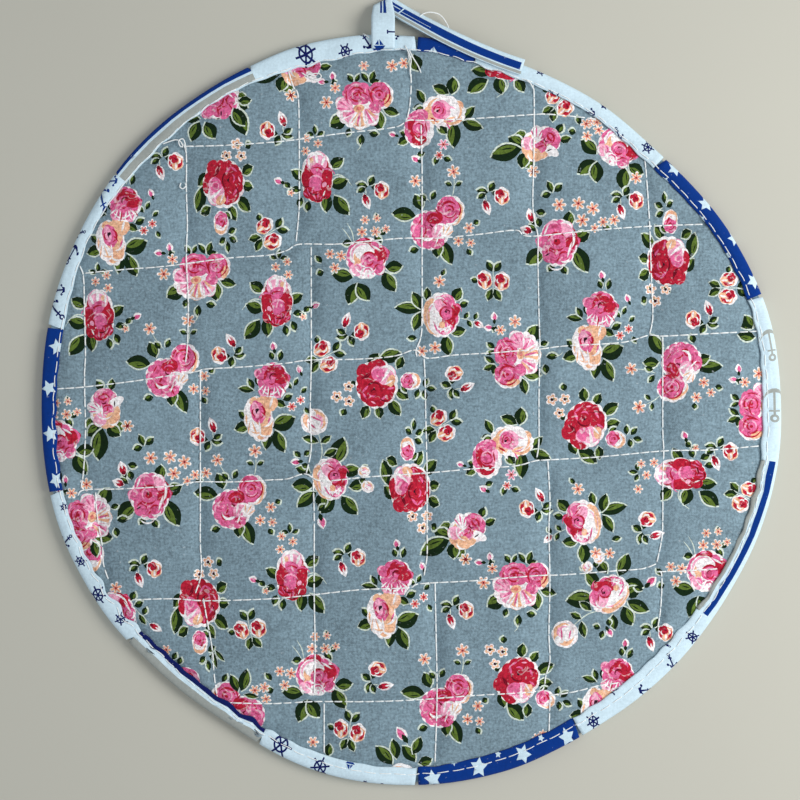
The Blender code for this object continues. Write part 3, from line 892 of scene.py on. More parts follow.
# A rose with cream and peach petals on its left and pink ones on its right.
CREAM_SIDE_ROSE = join(
    oval(CREAM, 0, 0, 38, 46, 0, 12, 0.07), oval(PEACH, -8, 2, 19, 38, 8, 7, 0.1),
    oval(PINK, 5, -1, 26, 38, 0, 9, 0.1), oval(CREAM, -6, 4, 18, 32, 8, 6, 0.1),
    arc(PEACH, -2, 2, 14, 110, 130, 3.0, 1.25), arc(LIGHT, -2, 2, 11, 120, 120, 2.6, 1.3),
    petal(PINK, 5, -14, 17, 14, -10, rim=LIGHT), petal(RED, 13, -3, 10, 19, -30, rim=PINK),
    petal(LIGHT, -1, -10, 11, 18, 20, rim=CREAM), petal(RED, 8, 7, 14, 15, 220),
    petal(PINK, 4, 14, 16, 12, 190, rim=LIGHT, streaks=CREAM), oval(PINK, 5, -2, 13, 15, 0, 5, 0.1),
    arc(RED, 5, -2, 6, 60, 200, 2.2), arc(DARK_RED, 6, -2, 3.2, -30, 200, 1.8),
    oval(BLACK, 5, -3, 2.4, 2.0), arc(CREAM, 1, 6, 8.5, 200, 130, 2.6),
    oval(PEACH, 1, 10, 6, 7, 20), blade(CREAM, -8, 18, 18, 2.6, 102),
    blade(PINK, -3, 18, 13, 2.0, 112), blade(CREAM, 5, 19, 11, 2.0, 64),
    blade(PEACH, -12, 12, 20, 2.6, 92), blade(RED, -1, -16, 11, 1.6, 320))

# A full round pink rose with deep red folds and pale lower edges.
ROUND_PINK_ROSE = join(
    oval(CREAM, 0, 0, 39, 49, 0, 12, 0.07), oval(PINK, 0, -0.5, 36, 46, 0, 11, 0.1),
    petal(LIGHT, 7, -14, 17, 17, -24, rim=CREAM), petal(PINK, -5, -14, 19, 17, 16, rim=LIGHT),
    petal(PINK, -12, 0, 12, 22, 70, rim=LIGHT, fold=RED), petal(RED, 13, -1, 10, 20, -76, rim=PINK),
    petal(PINK, -8, 13, 15, 15, 150, fold=RED),
    petal(PINK, 6, 14, 17, 14, 200, rim=CREAM, fold=RED), oval(PINK, -1, -1, 19, 22, 0, 7, 0.1),
    arc(RED, -1, -1, 9.4, 20, 150, 2.4), arc(RED, -1, -1, 8.6, 210, 120, 2.2),
    arc(LIGHT, -1, -2, 6.6, 80, 160, 1.8), oval(RED, -1, -1, 7.5, 7, 20, 5, 0.15),
    oval(BLACK, -2, -2, 2.4, 1.8), arc(CREAM, 4, -4, 12, -40, 80, 2.4, 1.2),
    arc(RED, 5, -5, 14, -10, 60, 1.8), blade(CREAM, 9, 15, 17, 2.2, 74),
    blade(RED, 12, 12, 14, 1.8, 66), blade(RED, -13, 10, 9, 1.8, 40),
    blade(CREAM, -14, -8, 12, 2.0, 66), blade(BLACK, -13, 13, 6, 1.6, 30),
    arc(CREAM, -2, 18, 9, 210, 120, 1.8), blade(RED, -2, 20, 8, 1.6, 60))

# A round rose with a pink and red rim round broad white turning petals.
WHITE_SWIRL_ROSE = join(
    oval(CREAM, 0, 0, 41, 43, 0, 12, 0.07), oval(PINK, -1, -1, 38, 38, 0, 11, 0.1),
    petal(RED, 12, -3, 14, 25, -70, rim=PINK), petal(RED, -3, -15, 18, 11, 10, rim=PINK),
    oval(CREAM, -4, -3, 26, 26, 0, 8, 0.1), arc(LIGHT, -3, -3, 11, 60, 150, 2.4),
    arc(PINK, -4, -2, 14, 120, 100, 2.4), oval(PEACH, -8, 0, 9, 12, 10),
    oval(CREAM, -6, -4, 9, 12, 30), oval(PINK, 3, 2, 18, 16, 0, 6, 0.1),
    arc(RED, 3, 2, 7.6, 10, 160, 2.4), arc(LIGHT, 3, 3, 5.4, 60, 160, 1.8),
    arc(RED, 3, 3, 4.4, 220, 150, 2.0), arc(DARK_RED, 3, 2, 2.4, 20, 200, 1.4),
    petal(LIGHT, -10, 12, 14, 13, 130, rim=CREAM, fold=PINK),
    petal(CREAM, 2, 15, 17, 12, 185, streaks=LIGHT, fold=PINK),
    petal(PINK, 13, 11, 13, 13, 226, rim=CREAM, fold=RED), arc(CREAM, 0, 4, 12, 200, 130, 2.2),
    arc(RED, 12, 1, 7, -60, 110, 1.8), blade(CREAM, 5, -13, 12, 2.2, 330),
    blade(PEACH, -12, 8, 10, 2.2, 60))

# A smaller rose: pink crown, white sides, peach lower petals.
SMALL_MIXED_ROSE = join(
    oval(CREAM, 0, 0, 33, 41, 0, 11, 0.08), oval(PEACH, 2, 6, 28, 30, 0, 9, 0.1),
    oval(PINK, 0, -8, 25, 24, 0, 8, 0.1), petal(PINK, -2, -13, 19, 13, 8, rim=LIGHT, fold=RED),
    petal(CREAM, 11, -6, 9, 18, -60, fold=PEACH), petal(CREAM, -11, 0, 11, 16, 66, streaks=PINK),
    petal(PINK, 3, 2, 13, 14, 200, rim=CREAM, fold=RED),
    petal(LIGHT, -5, 12, 14, 14, 160, rim=CREAM), petal(PEACH, 8, 11, 13, 15, 206, rim=CREAM),
    arc(RED, -1, -8, 6, 10, 170, 2.2), arc(DARK_RED, -1, -7, 3, 200, 170, 1.8),
    blade(CREAM, -2, 10, 14, 2.2, 96), blade(RED, 2, 6, 9, 1.6, 80),
    blade(BLACK, 10, -8, 7, 1.4, 270), arc(CREAM, 0, 2, 9, 200, 130, 1.8))


# --- print: sprays, each drawn round its rose's middle ---------------------------

# The wide red rose with its half-open bud, drawn longer where it lies on its side, and
# its three cream flowers.
RED_BLOOM = join(
    foliage((-10, -20, 15, 9, 42), (2, -25, 22, 12, 14), (-31, 25, 7, 6, 240),
            (-8.6, 21, 14, 9, 243), (2, 21, 13, 8, 276), (12, 15, 19, 10, 302), (19, 5, 15, 9, 322),
            (20, -15, 13, 8, 62), (25, 0, 9, 5, 300), (42, 5, 9, 5, 246), (46, 2, 8, 5, 60),
            (49, 4, 9, 5, 350), (46, 6, 9, 5, 292), (-21, 1, 6, 5, 150)),
    cup_rose(33.5, -3, 17, 20, 84), RED_CLUSTER)
CREAM_TRIO = join(
    cream_flower(-28.4, 2.6, 11, 10), cream_flower(-40, 12.5, 12, 50),
    cream_flower(-28, 17.2, 11.5, 80))
SPRAY_RED = RED_BLOOM + CREAM_TRIO
SPRAY_RED_LONG = stretched(RED_BLOOM, 1.17, 0.85) + CREAM_TRIO

# Two joined pink roses, three star flowers on one side and two on stems.
SPRAY_DOUBLE = join(
    stem((-19, -36), (-14, -28), (-7, -20)), stem((17, -44), (17, -34), (15, -24)),
    foliage((-16, -12, 16, 10, 112), (-21, -6, 23, 12, 172), (-11, -21, 8, 5, 132),
            (-6, -22, 9, 5, 60), (15, -36, 7, 4, 158), (18, -36, 7, 4, 24), (6, 18, 25, 11, 290),
            (1, 18, 17, 10, 264), (-18, 27, 9, 6, 196), (30, 27, 7, 5, 300), (36, 2, 6, 5, 30)),
    DOUBLE_PINK_ROSE,
    star_flowers((-21.5, -41, 12, 10), (16.4, -50, 13, 40), (31.9, 6, 10.5, 0),
                 (21.5, 19, 10.5, 30), (33.6, 21, 9, 50)))

# The upright red rose, a tendril and leaves at its right, buds at its left.
SPRAY_TALL = join(
    stem((13, 0), (22, -2), (29, 2), (35, 9), thick=1.3), stem((-15, 12), (-24, 11), (-34, 6)),
    foliage((12, -10, 16, 10, 30), (13, 9, 18, 11, 14), (11, 16, 19, 10, 266),
            (17, 19, 23, 12, 306), (-12, 3, 16, 9, 145), (-16, 13, 9, 6, 168), (-22, 12, 8, 5, 220),
            (-15, 20, 10, 6, 246), (-8, 24, 10, 6, 262), (-27, 11, 7, 5, 130), (-2, -42, 9, 4, 95),
            (-3, -42, 7, 4, 160), (0, -42, 7, 4, 30)), pink_bud(-38, 4.3, 8, 6, 158), TALL_RED_ROSE,
    star_flowers((-26, 16, 7, 0, 5), (-10.3, -39, 8.5, 0), (1, -33.6, 9, 30), (-11.5, -26, 9, 60)))

# The round white-hearted rose with three flowers at its left and five above.
SPRAY_WHITE = join(
    stem((-14, -16), (-19, -24), (-24, -30)), stem((-12, -16), (-14, -26), (-19, -35)),
    foliage((-13, 20, 20, 12, 172), (-9, 25, 22, 12, 246), (-8, 25, 20, 12, 304),
            (17, 14, 22, 12, 300), (19, 9, 17, 11, 4), (-44, 5, 9, 5, 128), (-42, 14, 7, 6, 200),
            (-14, -16, 9, 6, 186), (15, -13, 11, 6, 122), (12, -37, 7, 5, 100),
            (20, -28, 7, 5, 220)), WHITE_SWIRL_ROSE,
    star_flowers((-36, -4, 10, 0), (-25, -2, 11, 20), (-31, 10, 10.5, 50), (-1, -38, 9, 0),
                 (-4, -26, 10.5, 30), (9.5, -26.5, 10.5, 50), (11, -39.5, 8, 10), (20, -29, 8, 40)))

# Two pink roses over a fan of pale petals; buds and flowers at its left.
SPRAY_FAN = join(
    foliage((-14, 15, 18, 13, 208), (17, 7, 19, 12, 272), (22, 6, 16, 8, 344), (-11, 25, 8, 5, 246),
            (1, 31, 11, 6, 266), (8, 30, 9, 6, 348), (-8, -20, 9, 5, 126), (-6, -20, 9, 4, 60),
            (7, -20, 11, 5, 124), (9, -20, 12, 6, 66), (9, -20, 9, 5, 14), (-30, -19, 6, 4, 20)),
    stem((1, 40), (-1, 45), (-4, 48)), FAN_ROSE, pink_bud(-38.7, -21, 8, 5.5, 176),
    pink_bud(-28, -26, 8, 5.5, 96), star_flowers((-34.4, 0, 12.5, 0), (-25.8, -14.6, 10.5, 30)))

# The cream rose over the shoulder of a pink one.
SPRAY_CREAM = join(
    foliage((18, -24, 17, 11, 84), (16, -25, 17, 9, 152), (-9, -15, 15, 7, 116),
            (-10, -13, 9, 5, 186), (-8, -9, 9, 6, 176), (28, 1, 18, 8, 42), (22, 2, 26, 12, 268),
            (29, 2, 21, 10, 338), (5, 5, 13, 8, 312), (10, 39, 8, 5, 338), (5, 37, 9, 5, 250),
            (-24, 19, 12, 8, 206), (-26, 16, 7, 5, 160), (-8, 33, 8, 5, 200)), CREAM_AND_PINK_ROSE,
    pink_bud(-17, 40, 8, 6, 150), pink_bud(-40, 15.5, 7, 5, 160),
    star_flower(10.3, 25.8, 11, 0, 6, LIGHT), red_star(6, 36.5, 8.5))

# The pink rose over the long peach one, red stars at its right.
SPRAY_PEACH = join(
    stem((7, -38), (7, -44), (6, -49)),
    foliage((6, -38, 8, 5, 110), (12, -37, 10, 5, 72), (-13, -7, 15, 6, 170), (-13, -9, 11, 5, 116),
            (-9, -12, 10, 5, 96), (-16, 27, 16, 10, 192), (-20, 22, 11, 6, 134),
            (5, 29, 24, 14, 20), (3, 31, 20, 9, 260), (8, 32, 23, 11, 291), (8, 2, 12, 7, 330),
            (16, 2, 10, 6, 24), (38, 9, 7, 4, 300), (34, -5, 7, 4, 40), (25, -9, 8, 4, 132),
            (27, -12, 8, 4, 60)), PINK_OVER_PEACH_ROSE, pink_bud(6.9, -51, 8, 6, 100),
    pink_bud(32.7, -28, 8, 5, 112), red_star(25, 8.6, 9, 0), red_star(33.6, 2, 8.5, 30))

# The rose with a cream side, and a red bud on a stem at its right.
SPRAY_SIDE = join(
    stem((18, 3), (27, 5), (34, 8)),
    foliage((-19, -5, 26, 10, 176), (-20, -6, 18, 9, 114), (-20, -3, 19, 9, 250),
            (-14, -14, 13, 7, 86), (11, -14, 15, 10, 56), (18, -9, 9, 6, 18), (9, 17, 15, 9, 8),
            (4, 20, 20, 11, 279), (23, 4, 7, 4, 60), (26, 5, 8, 4, 300), (33, 5, 7, 4, 70),
            (-24, 23, 9, 5, 176), (0, -39, 7, 4, 62)), narrow_bud(37, 9, 9, 5.5, 330),
    CREAM_SIDE_ROSE, star_flowers((-1.7, -33.5, 12, 20), (-19, 36, 11, 0), (-6, 32.7, 12, 30)))

# A rose among many leaves, with a pale rose on a long stem and small buds.
SPRAY_LEAFY = join(
    stem((-8, 16), (-20, 19), (-30, 26), (-38, 34), thick=1.2),
    foliage((-14, 5, 28, 15, 184), (-12, -6, 19, 11, 118), (-2, -20, 16, 10, 128),
            (10, -18, 23, 12, 66), (16, -14, 19, 11, 340), (16, 2, 16, 11, 30),
            (18, 6, 23, 11, 335), (14, 12, 20, 12, 292), (4, 20, 15, 8, 276), (-18, 16, 14, 7, 140),
            (-28, 25, 12, 6, 150), (-28, 27, 16, 7, 280), (-13, -26, 7, 5, 100),
            (-22, -24, 7, 5, 150), (-9, 34, 7, 5, 160), (-6, 36, 8, 5, 250), (0, 32, 7, 5, 100),
            (34, -4, 9, 5, 160)), pink_bud(42, -12, 12, 8, 40), pink_bud(0, 38, 9, 6, 300),
    cream_bud(-10.3, -37, 10, 12, 0), cream_bud(-22, -27, 10, 11, 40),
    cream_bud(-44, 40, 25, 26, 0), moved(CREAM_SIDE_ROSE, 0, 0, 128, size=0.95))

# The smaller mixed rose over a large dark leaf, one star flower beside it.
SPRAY_MIXED = join(
    foliage((-3, -17, 11, 7, 120), (5, -17, 12, 7, 76), (-11, 10, 12, 9, 236), (12, 12, 12, 8, 290),
            (-3, 18, 17, 12, 214), (2, 18, 16, 11, 322), (-2, 20, 31, 15, 263)), SMALL_MIXED_ROSE,
    star_flower(23, 18, 12, 0, 6, PEACH, DARK_RED))

# The full round pink rose, a drift of star flowers at its right.
SPRAY_ROUND = join(
    stem((40, -20), (50, -22), (58, -18), (62, -12)),
    foliage((9, -16, 15, 10, 82), (16, -4, 16, 11, 18), (17, 3, 28, 14, 296), (-13, 6, 23, 13, 216),
            (-4, 22, 8, 6, 230), (3, 23, 9, 6, 300), (-22, -32, 9, 6, 350), (-18, -16, 9, 6, 100),
            (-22, -12, 9, 5, 140), (-24, -18, 7, 4, 110), (-6, -50, 12, 6, 112),
            (-4, -51, 10, 6, 40), (-7, -49, 9, 6, 196), (45, -16, 7, 5, 350)),
    narrow_bud(-27, -27, 12, 8, 106), narrow_bud(-31, -13, 10, 8, 160), ROUND_PINK_ROSE,
    star_flowers((1, -38, 13, 0), (20, -39, 13, 20), (34.5, -34, 13, 40), (24, -22.5, 13, 10),
                 (45, -21, 10, 0), (37, -15, 9, 30), (56, -23, 11, 50)))

# A rose half under the binding, with a red bud on a stem beside it.
SPRAY_EDGE = join(
    stem((17, -4), (24, 4), (32, 12)),
    foliage((13, -10, 10, 6, 64), (17, -5, 9, 6, 20), (26, 4, 8, 5, 70), (22, 3, 12, 5, 300)),
    narrow_bud(38, 16, 12, 6, 330), moved(ROUND_PINK_ROSE, 0, 0, 52, size=0.86))

# A rose of which the binding leaves half.
EDGE_ROSE = cup_rose(0, 0, 30, 34, -42)

# A tall pale bud on its stem between leaves, over the top of a pale rose.
EDGE_BUD = join(
    stem((5, -24), (9, -14), (12, -4), thick=1.2),
    foliage((-9, 0, 24, 12, 131), (-4, -6, 20, 9, 100), (14, -3, 20, 10, 128), (12, -11, 18, 9, 63),
            (17, -2, 14, 10, 15)), pink_bud(1, -31, 16, 9, 124), cream_bud(0, 13, 28, 28, 20))

# A striped bud and a narrow red one hanging from the same leaves.
SPRIG_HANGING = join(
    stem((-9, -8), (-8, -3), (-8, 1)), stem((-6, -9), (0, -10), (5, -7)),
    foliage((-6, -8, 11, 6, 170), (-5, -9, 10, 6, 60), (-8, -7, 9, 5, 210), (-3, -8, 8, 5, 350)),
    striped_bud(7.7, -4.5, 15.5, 18, 0), narrow_bud(-7.7, 6, 14, 7, 290))

# Two striped buds side by side in small leaves.
SPRIG_PAIR = join(
    stem((0, -12), (0, 0), (0, 12)),
    foliage((-1, -8, 11, 6, 118), (1, -8, 11, 6, 52), (-1, 9, 12, 7, 250), (1, 9, 13, 7, 296),
            (-15, 2, 7, 5, 160)), striped_bud(-8.6, 0, 15, 19, 8),
    striped_bud(8.6, 1.5, 16, 19, -6))

# What is printed where: a figure, and its places (right, down, turn, mirrored or not).
LAYOUT = (
    (SPRAY_TALL, (508, 64, -95)), (SPRAY_MIXED, (301, 68, -72)), (EDGE_ROSE, (184, 684)),
    (SPRAY_MIXED, (222, 88, 20, True)), (ROUND_PINK_ROSE, (216, 99, 62)),
    (SPRAY_MIXED, (105, 408), (541, 143, -67), (467, 530, -55)),
    (SPRAY_WHITE, (366, 258), (316, 675), (707, 571), (57, 441), (618, 146, -35)),
    (SPRAY_ROUND, (150, 496), (558, 243)), (SPRAY_LEAFY, (609, 594), (330, 479, -117)),
    (EDGE_BUD, (401, 765)), (SPRAY_SIDE, (441, 315)), (SPRAY_EDGE, (117, 611)),
    (EDGE_ROSE, (88, 556, 20)), (SPRAY_SIDE, (583, 522, 12, True)),
    (SPRAY_CREAM, (433, 119), (501, 449)),
    (SPRAY_PEACH, (595, 327), (119, 222), (390, 595), (267, 398), (608, 692, -12)),
    (SPRAY_FAN, (361, 103), (198, 274), (518, 583), (515, 356, 90, True), (86, 519, 90, True),
     (759, 408, 90, True)),
    (SPRAY_DOUBLE, (437, 222), (172, 370), (239, 501), (446, 700), (677, 371, 115, True)),
    (DOUBLE_PINK_ROSE, (238.5, 708, 0, True)),
    (SPRAY_TALL, (317, 177), (99, 315, 4, True), (277, 301, 0, True), (292, 575),
     (680, 474, 90, True)), (SPRAY_RED, (377, 384)), (SPRAY_RED_LONG, (410, 488, 90)),
    (SPRAY_RED, (585, 425, 160, True)),
    (SPRAY_RED_LONG, (224, 184, 90, True), (199, 603, 95, True), (668, 261, -90, True)),
    (SPRAY_RED, (518, 680, 150, True)),
    (SPRIG_HANGING, (374, 195), (494, 201), (628.5, 205), (168, 166), (350.5, 562), (458.5, 614.5),
     (147, 573), (723, 456), (658, 637), (275, 126, 180), (225.5, 349, 195), (205, 432, 180),
     (700.5, 315, 180), (354, 327, 180, True), (459.5, 380.5, 97), (380.5, 677, 79), (651, 527, 85),
     (533.5, 503, 190)),
    (SPRIG_PAIR, (493, 280), (326, 356, -62), (443, 425, -58), (269.5, 233.5, -58), (729, 288, -90),
     (745.5, 497, -118), (250, 628, 12), (349.5, 729.5, -8), (560, 101, -40)),
)
# Flowers that stand alone: (right, down, size, turn)
STARS = (
    (364, 66, 10, 0), (392, 66, 12, 20), (404, 63, 11, 0), (586, 124, 11, 10), (597, 122, 10, 40),
    (313, 742, 11, 0), (537, 738, 9, 0), (543, 734, 8, 30), (166, 650, 10, 0), (636, 178, 12, 20),
    (638, 489, 9, 0), (116, 588, 12, 20), (255, 690, 10.5, 0), (264.5, 687, 10.5, 20),
    (266, 699, 10, 40),
)
# Leaves that stand alone: (foot right, foot down, length, width, heading)
LEAVES = (
    (414, 54, 17, 12, 285), (741, 327, 18, 11, 30), (738, 334, 17, 10, 350),
    (752, 329, 15, 10, 120), (672, 186, 9, 8, 60), (327, 757, 13, 8, 80), (200, 122, 20, 11, 246),
    (206, 122, 18, 12, 300), (200, 119, 16, 8, 178), (234, 108, 20, 11, 302), (238, 101, 13, 8, 4),
    (237.7, 692, 18, 8, 112), (241, 691, 22, 10, 75), (244, 694, 14, 5, 348), (172, 660, 8, 5, 60),
    (178, 665, 8, 5, 70), (222, 682, 9, 5, 60), (213, 652, 16, 4, 282), (215, 650, 14, 4, 310),
)


def rose_print():
    """Every figure of the rose cotton, in millimetres."""
    figure = join(*(moved(spray, *place) for spray, *places in LAYOUT for place in places))
    figure += star_flowers(*STARS)
    for x, y, *leaf_row in LEAVES:
        figure += moved(foliage((0, 0, *leaf_row)), x, y)
    return [(ink, plan(ring)) for ink, ring in figure]


# --- print: binding and loop ---------------------------------------------------


def bar(ink, x, y, length, wide, heading):
    """A straight thin bar centred at x, y."""
    a = math.radians(heading)
    along = np.array([math.cos(a), -math.sin(a)]) * length / 2
    side = np.array([math.sin(a), math.cos(a)]) * wide / 2
    return [(ink, np.array([x, y]) + [along + side, along - side, -along - side, -along + side])]


def wheel(size, ink):
    """A ship's wheel: rim, hub, and three bars across that run out past the rim."""
    stroke = 0.6 + 0.07 * size
    inner = size * 0.80 - 2 * stroke
    return join(
        oval(ink, 0, 0, size * 0.80, size * 0.80, spacing=1.2),
        oval(WHITE, 0, 0, inner, inner, spacing=1.1),
        *(bar(ink, 0, 0, size * 1.24, stroke, 60 * k) for k in range(3)),
        oval(ink, 0, 0, size * 0.24, size * 0.24))


def anchor(size, ink):
    """An anchor: ring at one end, shank, stock and curved arms with flukes."""
    stroke = 1.5 + 0.03 * size
    return join(
        oval(ink, 0, -size * 0.46, size * 0.26, size * 0.26, spacing=0.8),
        oval(WHITE, 0, -size * 0.46, size * 0.11, size * 0.11, spacing=0.8),
        bar(ink, 0, 0.02 * size, size * 0.84, stroke * 0.85, 90),
        bar(ink, 0, -size * 0.22, size * 0.30, stroke * 0.7, 0),
        arc(ink, 0, size * 0.14, size * 0.30, 190, 160, stroke * 1.7),
        blade(ink, -size * 0.34, size * 0.32, size * 0.22, stroke * 1.5, 100),
        blade(ink, size * 0.34, size * 0.32, size * 0.22, stroke * 1.5, 80))


def boat(size, ink):
    """A small boat: a hull, a sail and a jib."""
    hull = ((-0.5, 0.10), (0.5, 0.10), (0.34, 0.32), (-0.32, 0.32))
    sail = ((0.02, -0.46), (0.02, 0.04), (0.38, 0.04))
    jib = ((-0.04, -0.36), (-0.04, 0.04), (-0.32, 0.04))
    return [(ink, np.array(part) * size) for part in (hull, sail, jib)]


def star(size, ink):
    """A five-pointed star, one point up."""
    return star_ring(ink, 0, 0, size * 1.15, 5, 0.5)


# On the binding: (figure, right, down, size, ink, turn)
EDGE_FIGURES = (
    (wheel, 306, 55, 18, NAVY, 10), (wheel, 345.5, 52, 12, NAVY, 0),
    (anchor, 366.5, 41, 15, NAVY, 30), (boat, 378, 46.5, 12, BLUE, 0),
    (anchor, 393, 35, 12, NAVY, 100), (anchor, 404, 50, 9, NAVY, 60), (boat, 433, 52, 15, WHITE, 0),
    (star, 480, 62, 8, WHITE, 0), (wheel, 541, 71, 10, NAVY, 0), (anchor, 553, 96, 12, NAVY, 70),
    (star, 604, 106, 9, NAVY, 20), (anchor, 589, 113, 13, NAVY, 120),
    (anchor, 618, 134, 13, NAVY, 60), (wheel, 648, 147, 12, NAVY, 20),
    (star, 675, 169, 15, WHITE, 20), (star, 706, 204, 15, WHITE, 50),
    (star, 736, 238, 15, WHITE, 10), (star, 754, 281, 15, WHITE, 40), (star, 701, 219, 9, WHITE, 0),
    (star, 724, 257, 9, WHITE, 30), (star, 664, 181, 8, WHITE, 0),
    (anchor, 770.5, 344, 30, GREY, -90), (anchor, 774.5, 404, 32, GREY, -90),
    (wheel, 692.5, 637, 11, NAVY, 30), (anchor, 671, 661, 12, NAVY, 150),
    (anchor, 645, 690, 12, NAVY, 60), (wheel, 593, 721, 12, NAVY, 0),
    (anchor, 664, 643, 9, NAVY, 20), (anchor, 614, 690, 9, NAVY, 80),
    (star, 567, 737, 15, WHITE, 30), (star, 523, 754, 15, WHITE, 0),
    (star, 479, 767, 16, WHITE, 20), (star, 433, 779, 16, WHITE, 45), (star, 541, 738, 6, WHITE, 0),
    (star, 498, 754, 6, WHITE, 20), (star, 454, 763, 6, WHITE, 0), (wheel, 281, 744, 20, NAVY, 0),
    (wheel, 320, 767, 16, NAVY, 20), (boat, 350, 765, 10, BLUE, 0), (star, 365, 782, 5, NAVY, 0),
    (star, 382, 784, 4, NAVY, 0), (wheel, 121, 619, 12, NAVY, 20), (wheel, 98, 595, 16, NAVY, 0),
    (wheel, 80.5, 561, 11, NAVY, 10), (anchor, 67, 540, 15, NAVY, 200),
    (wheel, 64, 507, 8, NAVY, 0), (star, 57, 347, 15, WHITE, 0), (star, 49, 388, 15, WHITE, 10),
    (star, 51, 434, 15, WHITE, -10), (star, 56, 480, 15, WHITE, 10),
    (anchor, 55, 310, 22, NAVY, 150), (anchor, 59, 290, 13, NAVY, 20),
    (anchor, 71, 254, 20, NAVY, 80), (anchor, 80, 232, 14, NAVY, 200),
    (anchor, 102, 200, 27, BLUE, 150), (anchor, 112, 181, 13, BLUE, 30),
)
# Coloured blocks of the binding: (right, down) of both ends, anticlockwise, then bands
# of (ink, low and high across the strip at the first end, low and high at the second)
EDGE_BLOCKS = (
    (((475, 60), (417, 44)), ((BLUE, -12, 9, -12, 9),)),
    (((760, 296), (657, 165)), ((BLUE, -12, 9, -12, 9),)),
    (((418, 778), (578, 728)), ((BLUE, -12, 9, -12, 9),)),
    (((52, 327), (50, 493)), ((BLUE, -12, 9, -12, 9),)),
    (((251, 70), (121, 178)), ((BLUE, -3.0, 3.0, -3.0, 2.2), (GREY, 4.1, 7.3, 3.5, 7.2))),
    (((703, 613), (770, 461)), ((BLUE, 2.9, 5.0, 1.8, 4.5), (GREY, 6.7, 9, 6.2, 9))),
    (((132, 638.5), (261, 739)), ((GREY, -12, 4.0, -12, 4.2), (NAVY, 6.1, 9, 6.2, 9))),
)
LAP = 9  # the white ground runs this far past both ends of the strip
JOINT = 20  # a figure this near an end of the strip is drawn on the other end too
BAND_POINTS = 12  # along each side of a block's band


def binding_print():
    """Blocks and small figures in the strip's flat millimetres: along, and across. What
    lies near the strip's joint is drawn on both its ends."""
    shapes = [(WHITE, box_ring(-LAP, STRIP_LENGTH + LAP, -13, 10, 400, 30))]
    for ends, bands in EDGE_BLOCKS:
        (first, _), (last, _) = strip_place(np.array(ends, float))
        if last < first:
            last += STRIP_LENGTH
        for ink, low_a, high_a, low_b, high_b in bands:
            t = np.linspace(0, 1, BAND_POINTS)
            low, high = low_a + (low_b - low_a) * t, high_a + (high_b - high_a) * t
            at = first + (last - first) * t
            ring = np.vstack([np.stack([at, low], 1), np.stack([at, high], 1)[::-1]])
            shapes += [(ink, ring), (ink, ring - (STRIP_LENGTH, 0))]
    for figure, x, y, size, ink, turn in EDGE_FIGURES:
        place = strip_place(np.array([[x, y]], float))[0]
        for lap in (-STRIP_LENGTH, 0, STRIP_LENGTH):
            if -JOINT < place[0] + lap < STRIP_LENGTH + JOINT:
                shapes += [(part_ink, place + (lap, 0) + ring * (-STEP, STEP))
                           for part_ink, ring in moved(figure(size, ink), 0, 0, turn)]
    return shapes


def loop_print():
    """Stripes along the strip: white, blue, white, grey, white on the tail, a double
    blue mark over the leg's fold and small marks at its foot."""
    end = LOOP_LENGTH + 3
    return [
        (WHITE, box_ring(-5, end, -6, 6, 30, 12)),
        (BLUE, box_ring(24.5, LOOP_LENGTH - 1.0, -2.0, 2.6, 3, 3)),
        (WHITE, box_ring(24.0, 31.0, 0.5, 1.0, 3, 3)),
        (WHITE, np.array([(31.0, -2.4), (31.6, -2.4), (32.6, 3.0), (32.0, 3.0)])),
        (WHITE, box_ring(32, 47.0, -0.4, -0.1, 3, 3)),
        (GREY, box_ring(24.5, end, -4.5, -2.8, 3, 3)),
        (BLUE, box_ring(15.4, 24.0, -1.4, -0.5, 3, 3)),
        (BLUE, box_ring(15.4, 24.0, 0.15, 1.5, 3, 3)),
        (NAVY, box_ring(6.7, 7.3, 1.8, 5.5, 3, 3)),
        (NAVY, box_ring(6.2, 7.9, 1.6, 2.2, 3, 3)),
    ] + [(ink, np.stack([1.6 - ring[:, 1], ring[:, 0] - 1.6], 1))
         for ink, ring in boat(5.2, BLUE)]


# --- quilt -------------------------------------------------------------------

PANEL_INSET = 1.6  # the quilt ends this far inside the mat's edge, in the binding
SEAM_ROWS = (0.7, 2.0, 3.9)  # extra points this far either side of a seam
UNDER_GRID = 7.0  # spacing of the underside's points, of which one in three is kept
BULGE = 0.25  # how far the middle of the quilt's wall stands out
CLOTH_HALF = 170  # the cloth's square of points runs this far from the middle
# The underside's height near the edge, by the distance inside it
UNDER_INSET, UNDER_EDGE = (0, 8.6, 11.5, 30), (GRIP_LOW, GRIP_LOW, 0.3, 0.0)
# The quilt's UV map, in parts of the square: the middle of the top, its size for each
# millimetre, and the same of the underside
TOP_SPOT, TOP_SCALE = 0.475, 0.47 / 172.5
UNDER_SPOT, UNDER_SCALE = 0.89, 0.10 / 170.0


def ring_at(inset, spacing):
    """Points round the mat at one inset from its edge."""
    bearing = np.arange(0, 2 * np.pi, spacing / NOMINAL_RADIUS)
    radius = rim_radius(bearing) - inset
    return np.stack([radius * np.cos(bearing), radius * np.sin(bearing)], 1)


def seam_points():
    """Rows of points beside every quilting run."""
    found = []
    for run in (run for seam in UPRIGHT_RUNS + CROSS_RUNS for run in seam):
        p = smooth_run(plan(run), 4.2)
        side = np.gradient(p, axis=0)[:, ::-1] * (-1, 1)
        side /= np.linalg.norm(side, axis=1)[:, None]
        found += [p + sign * row * side for row in SEAM_ROWS for sign in (-1, 1)]
        found.append(p)
    return np.vstack(found)


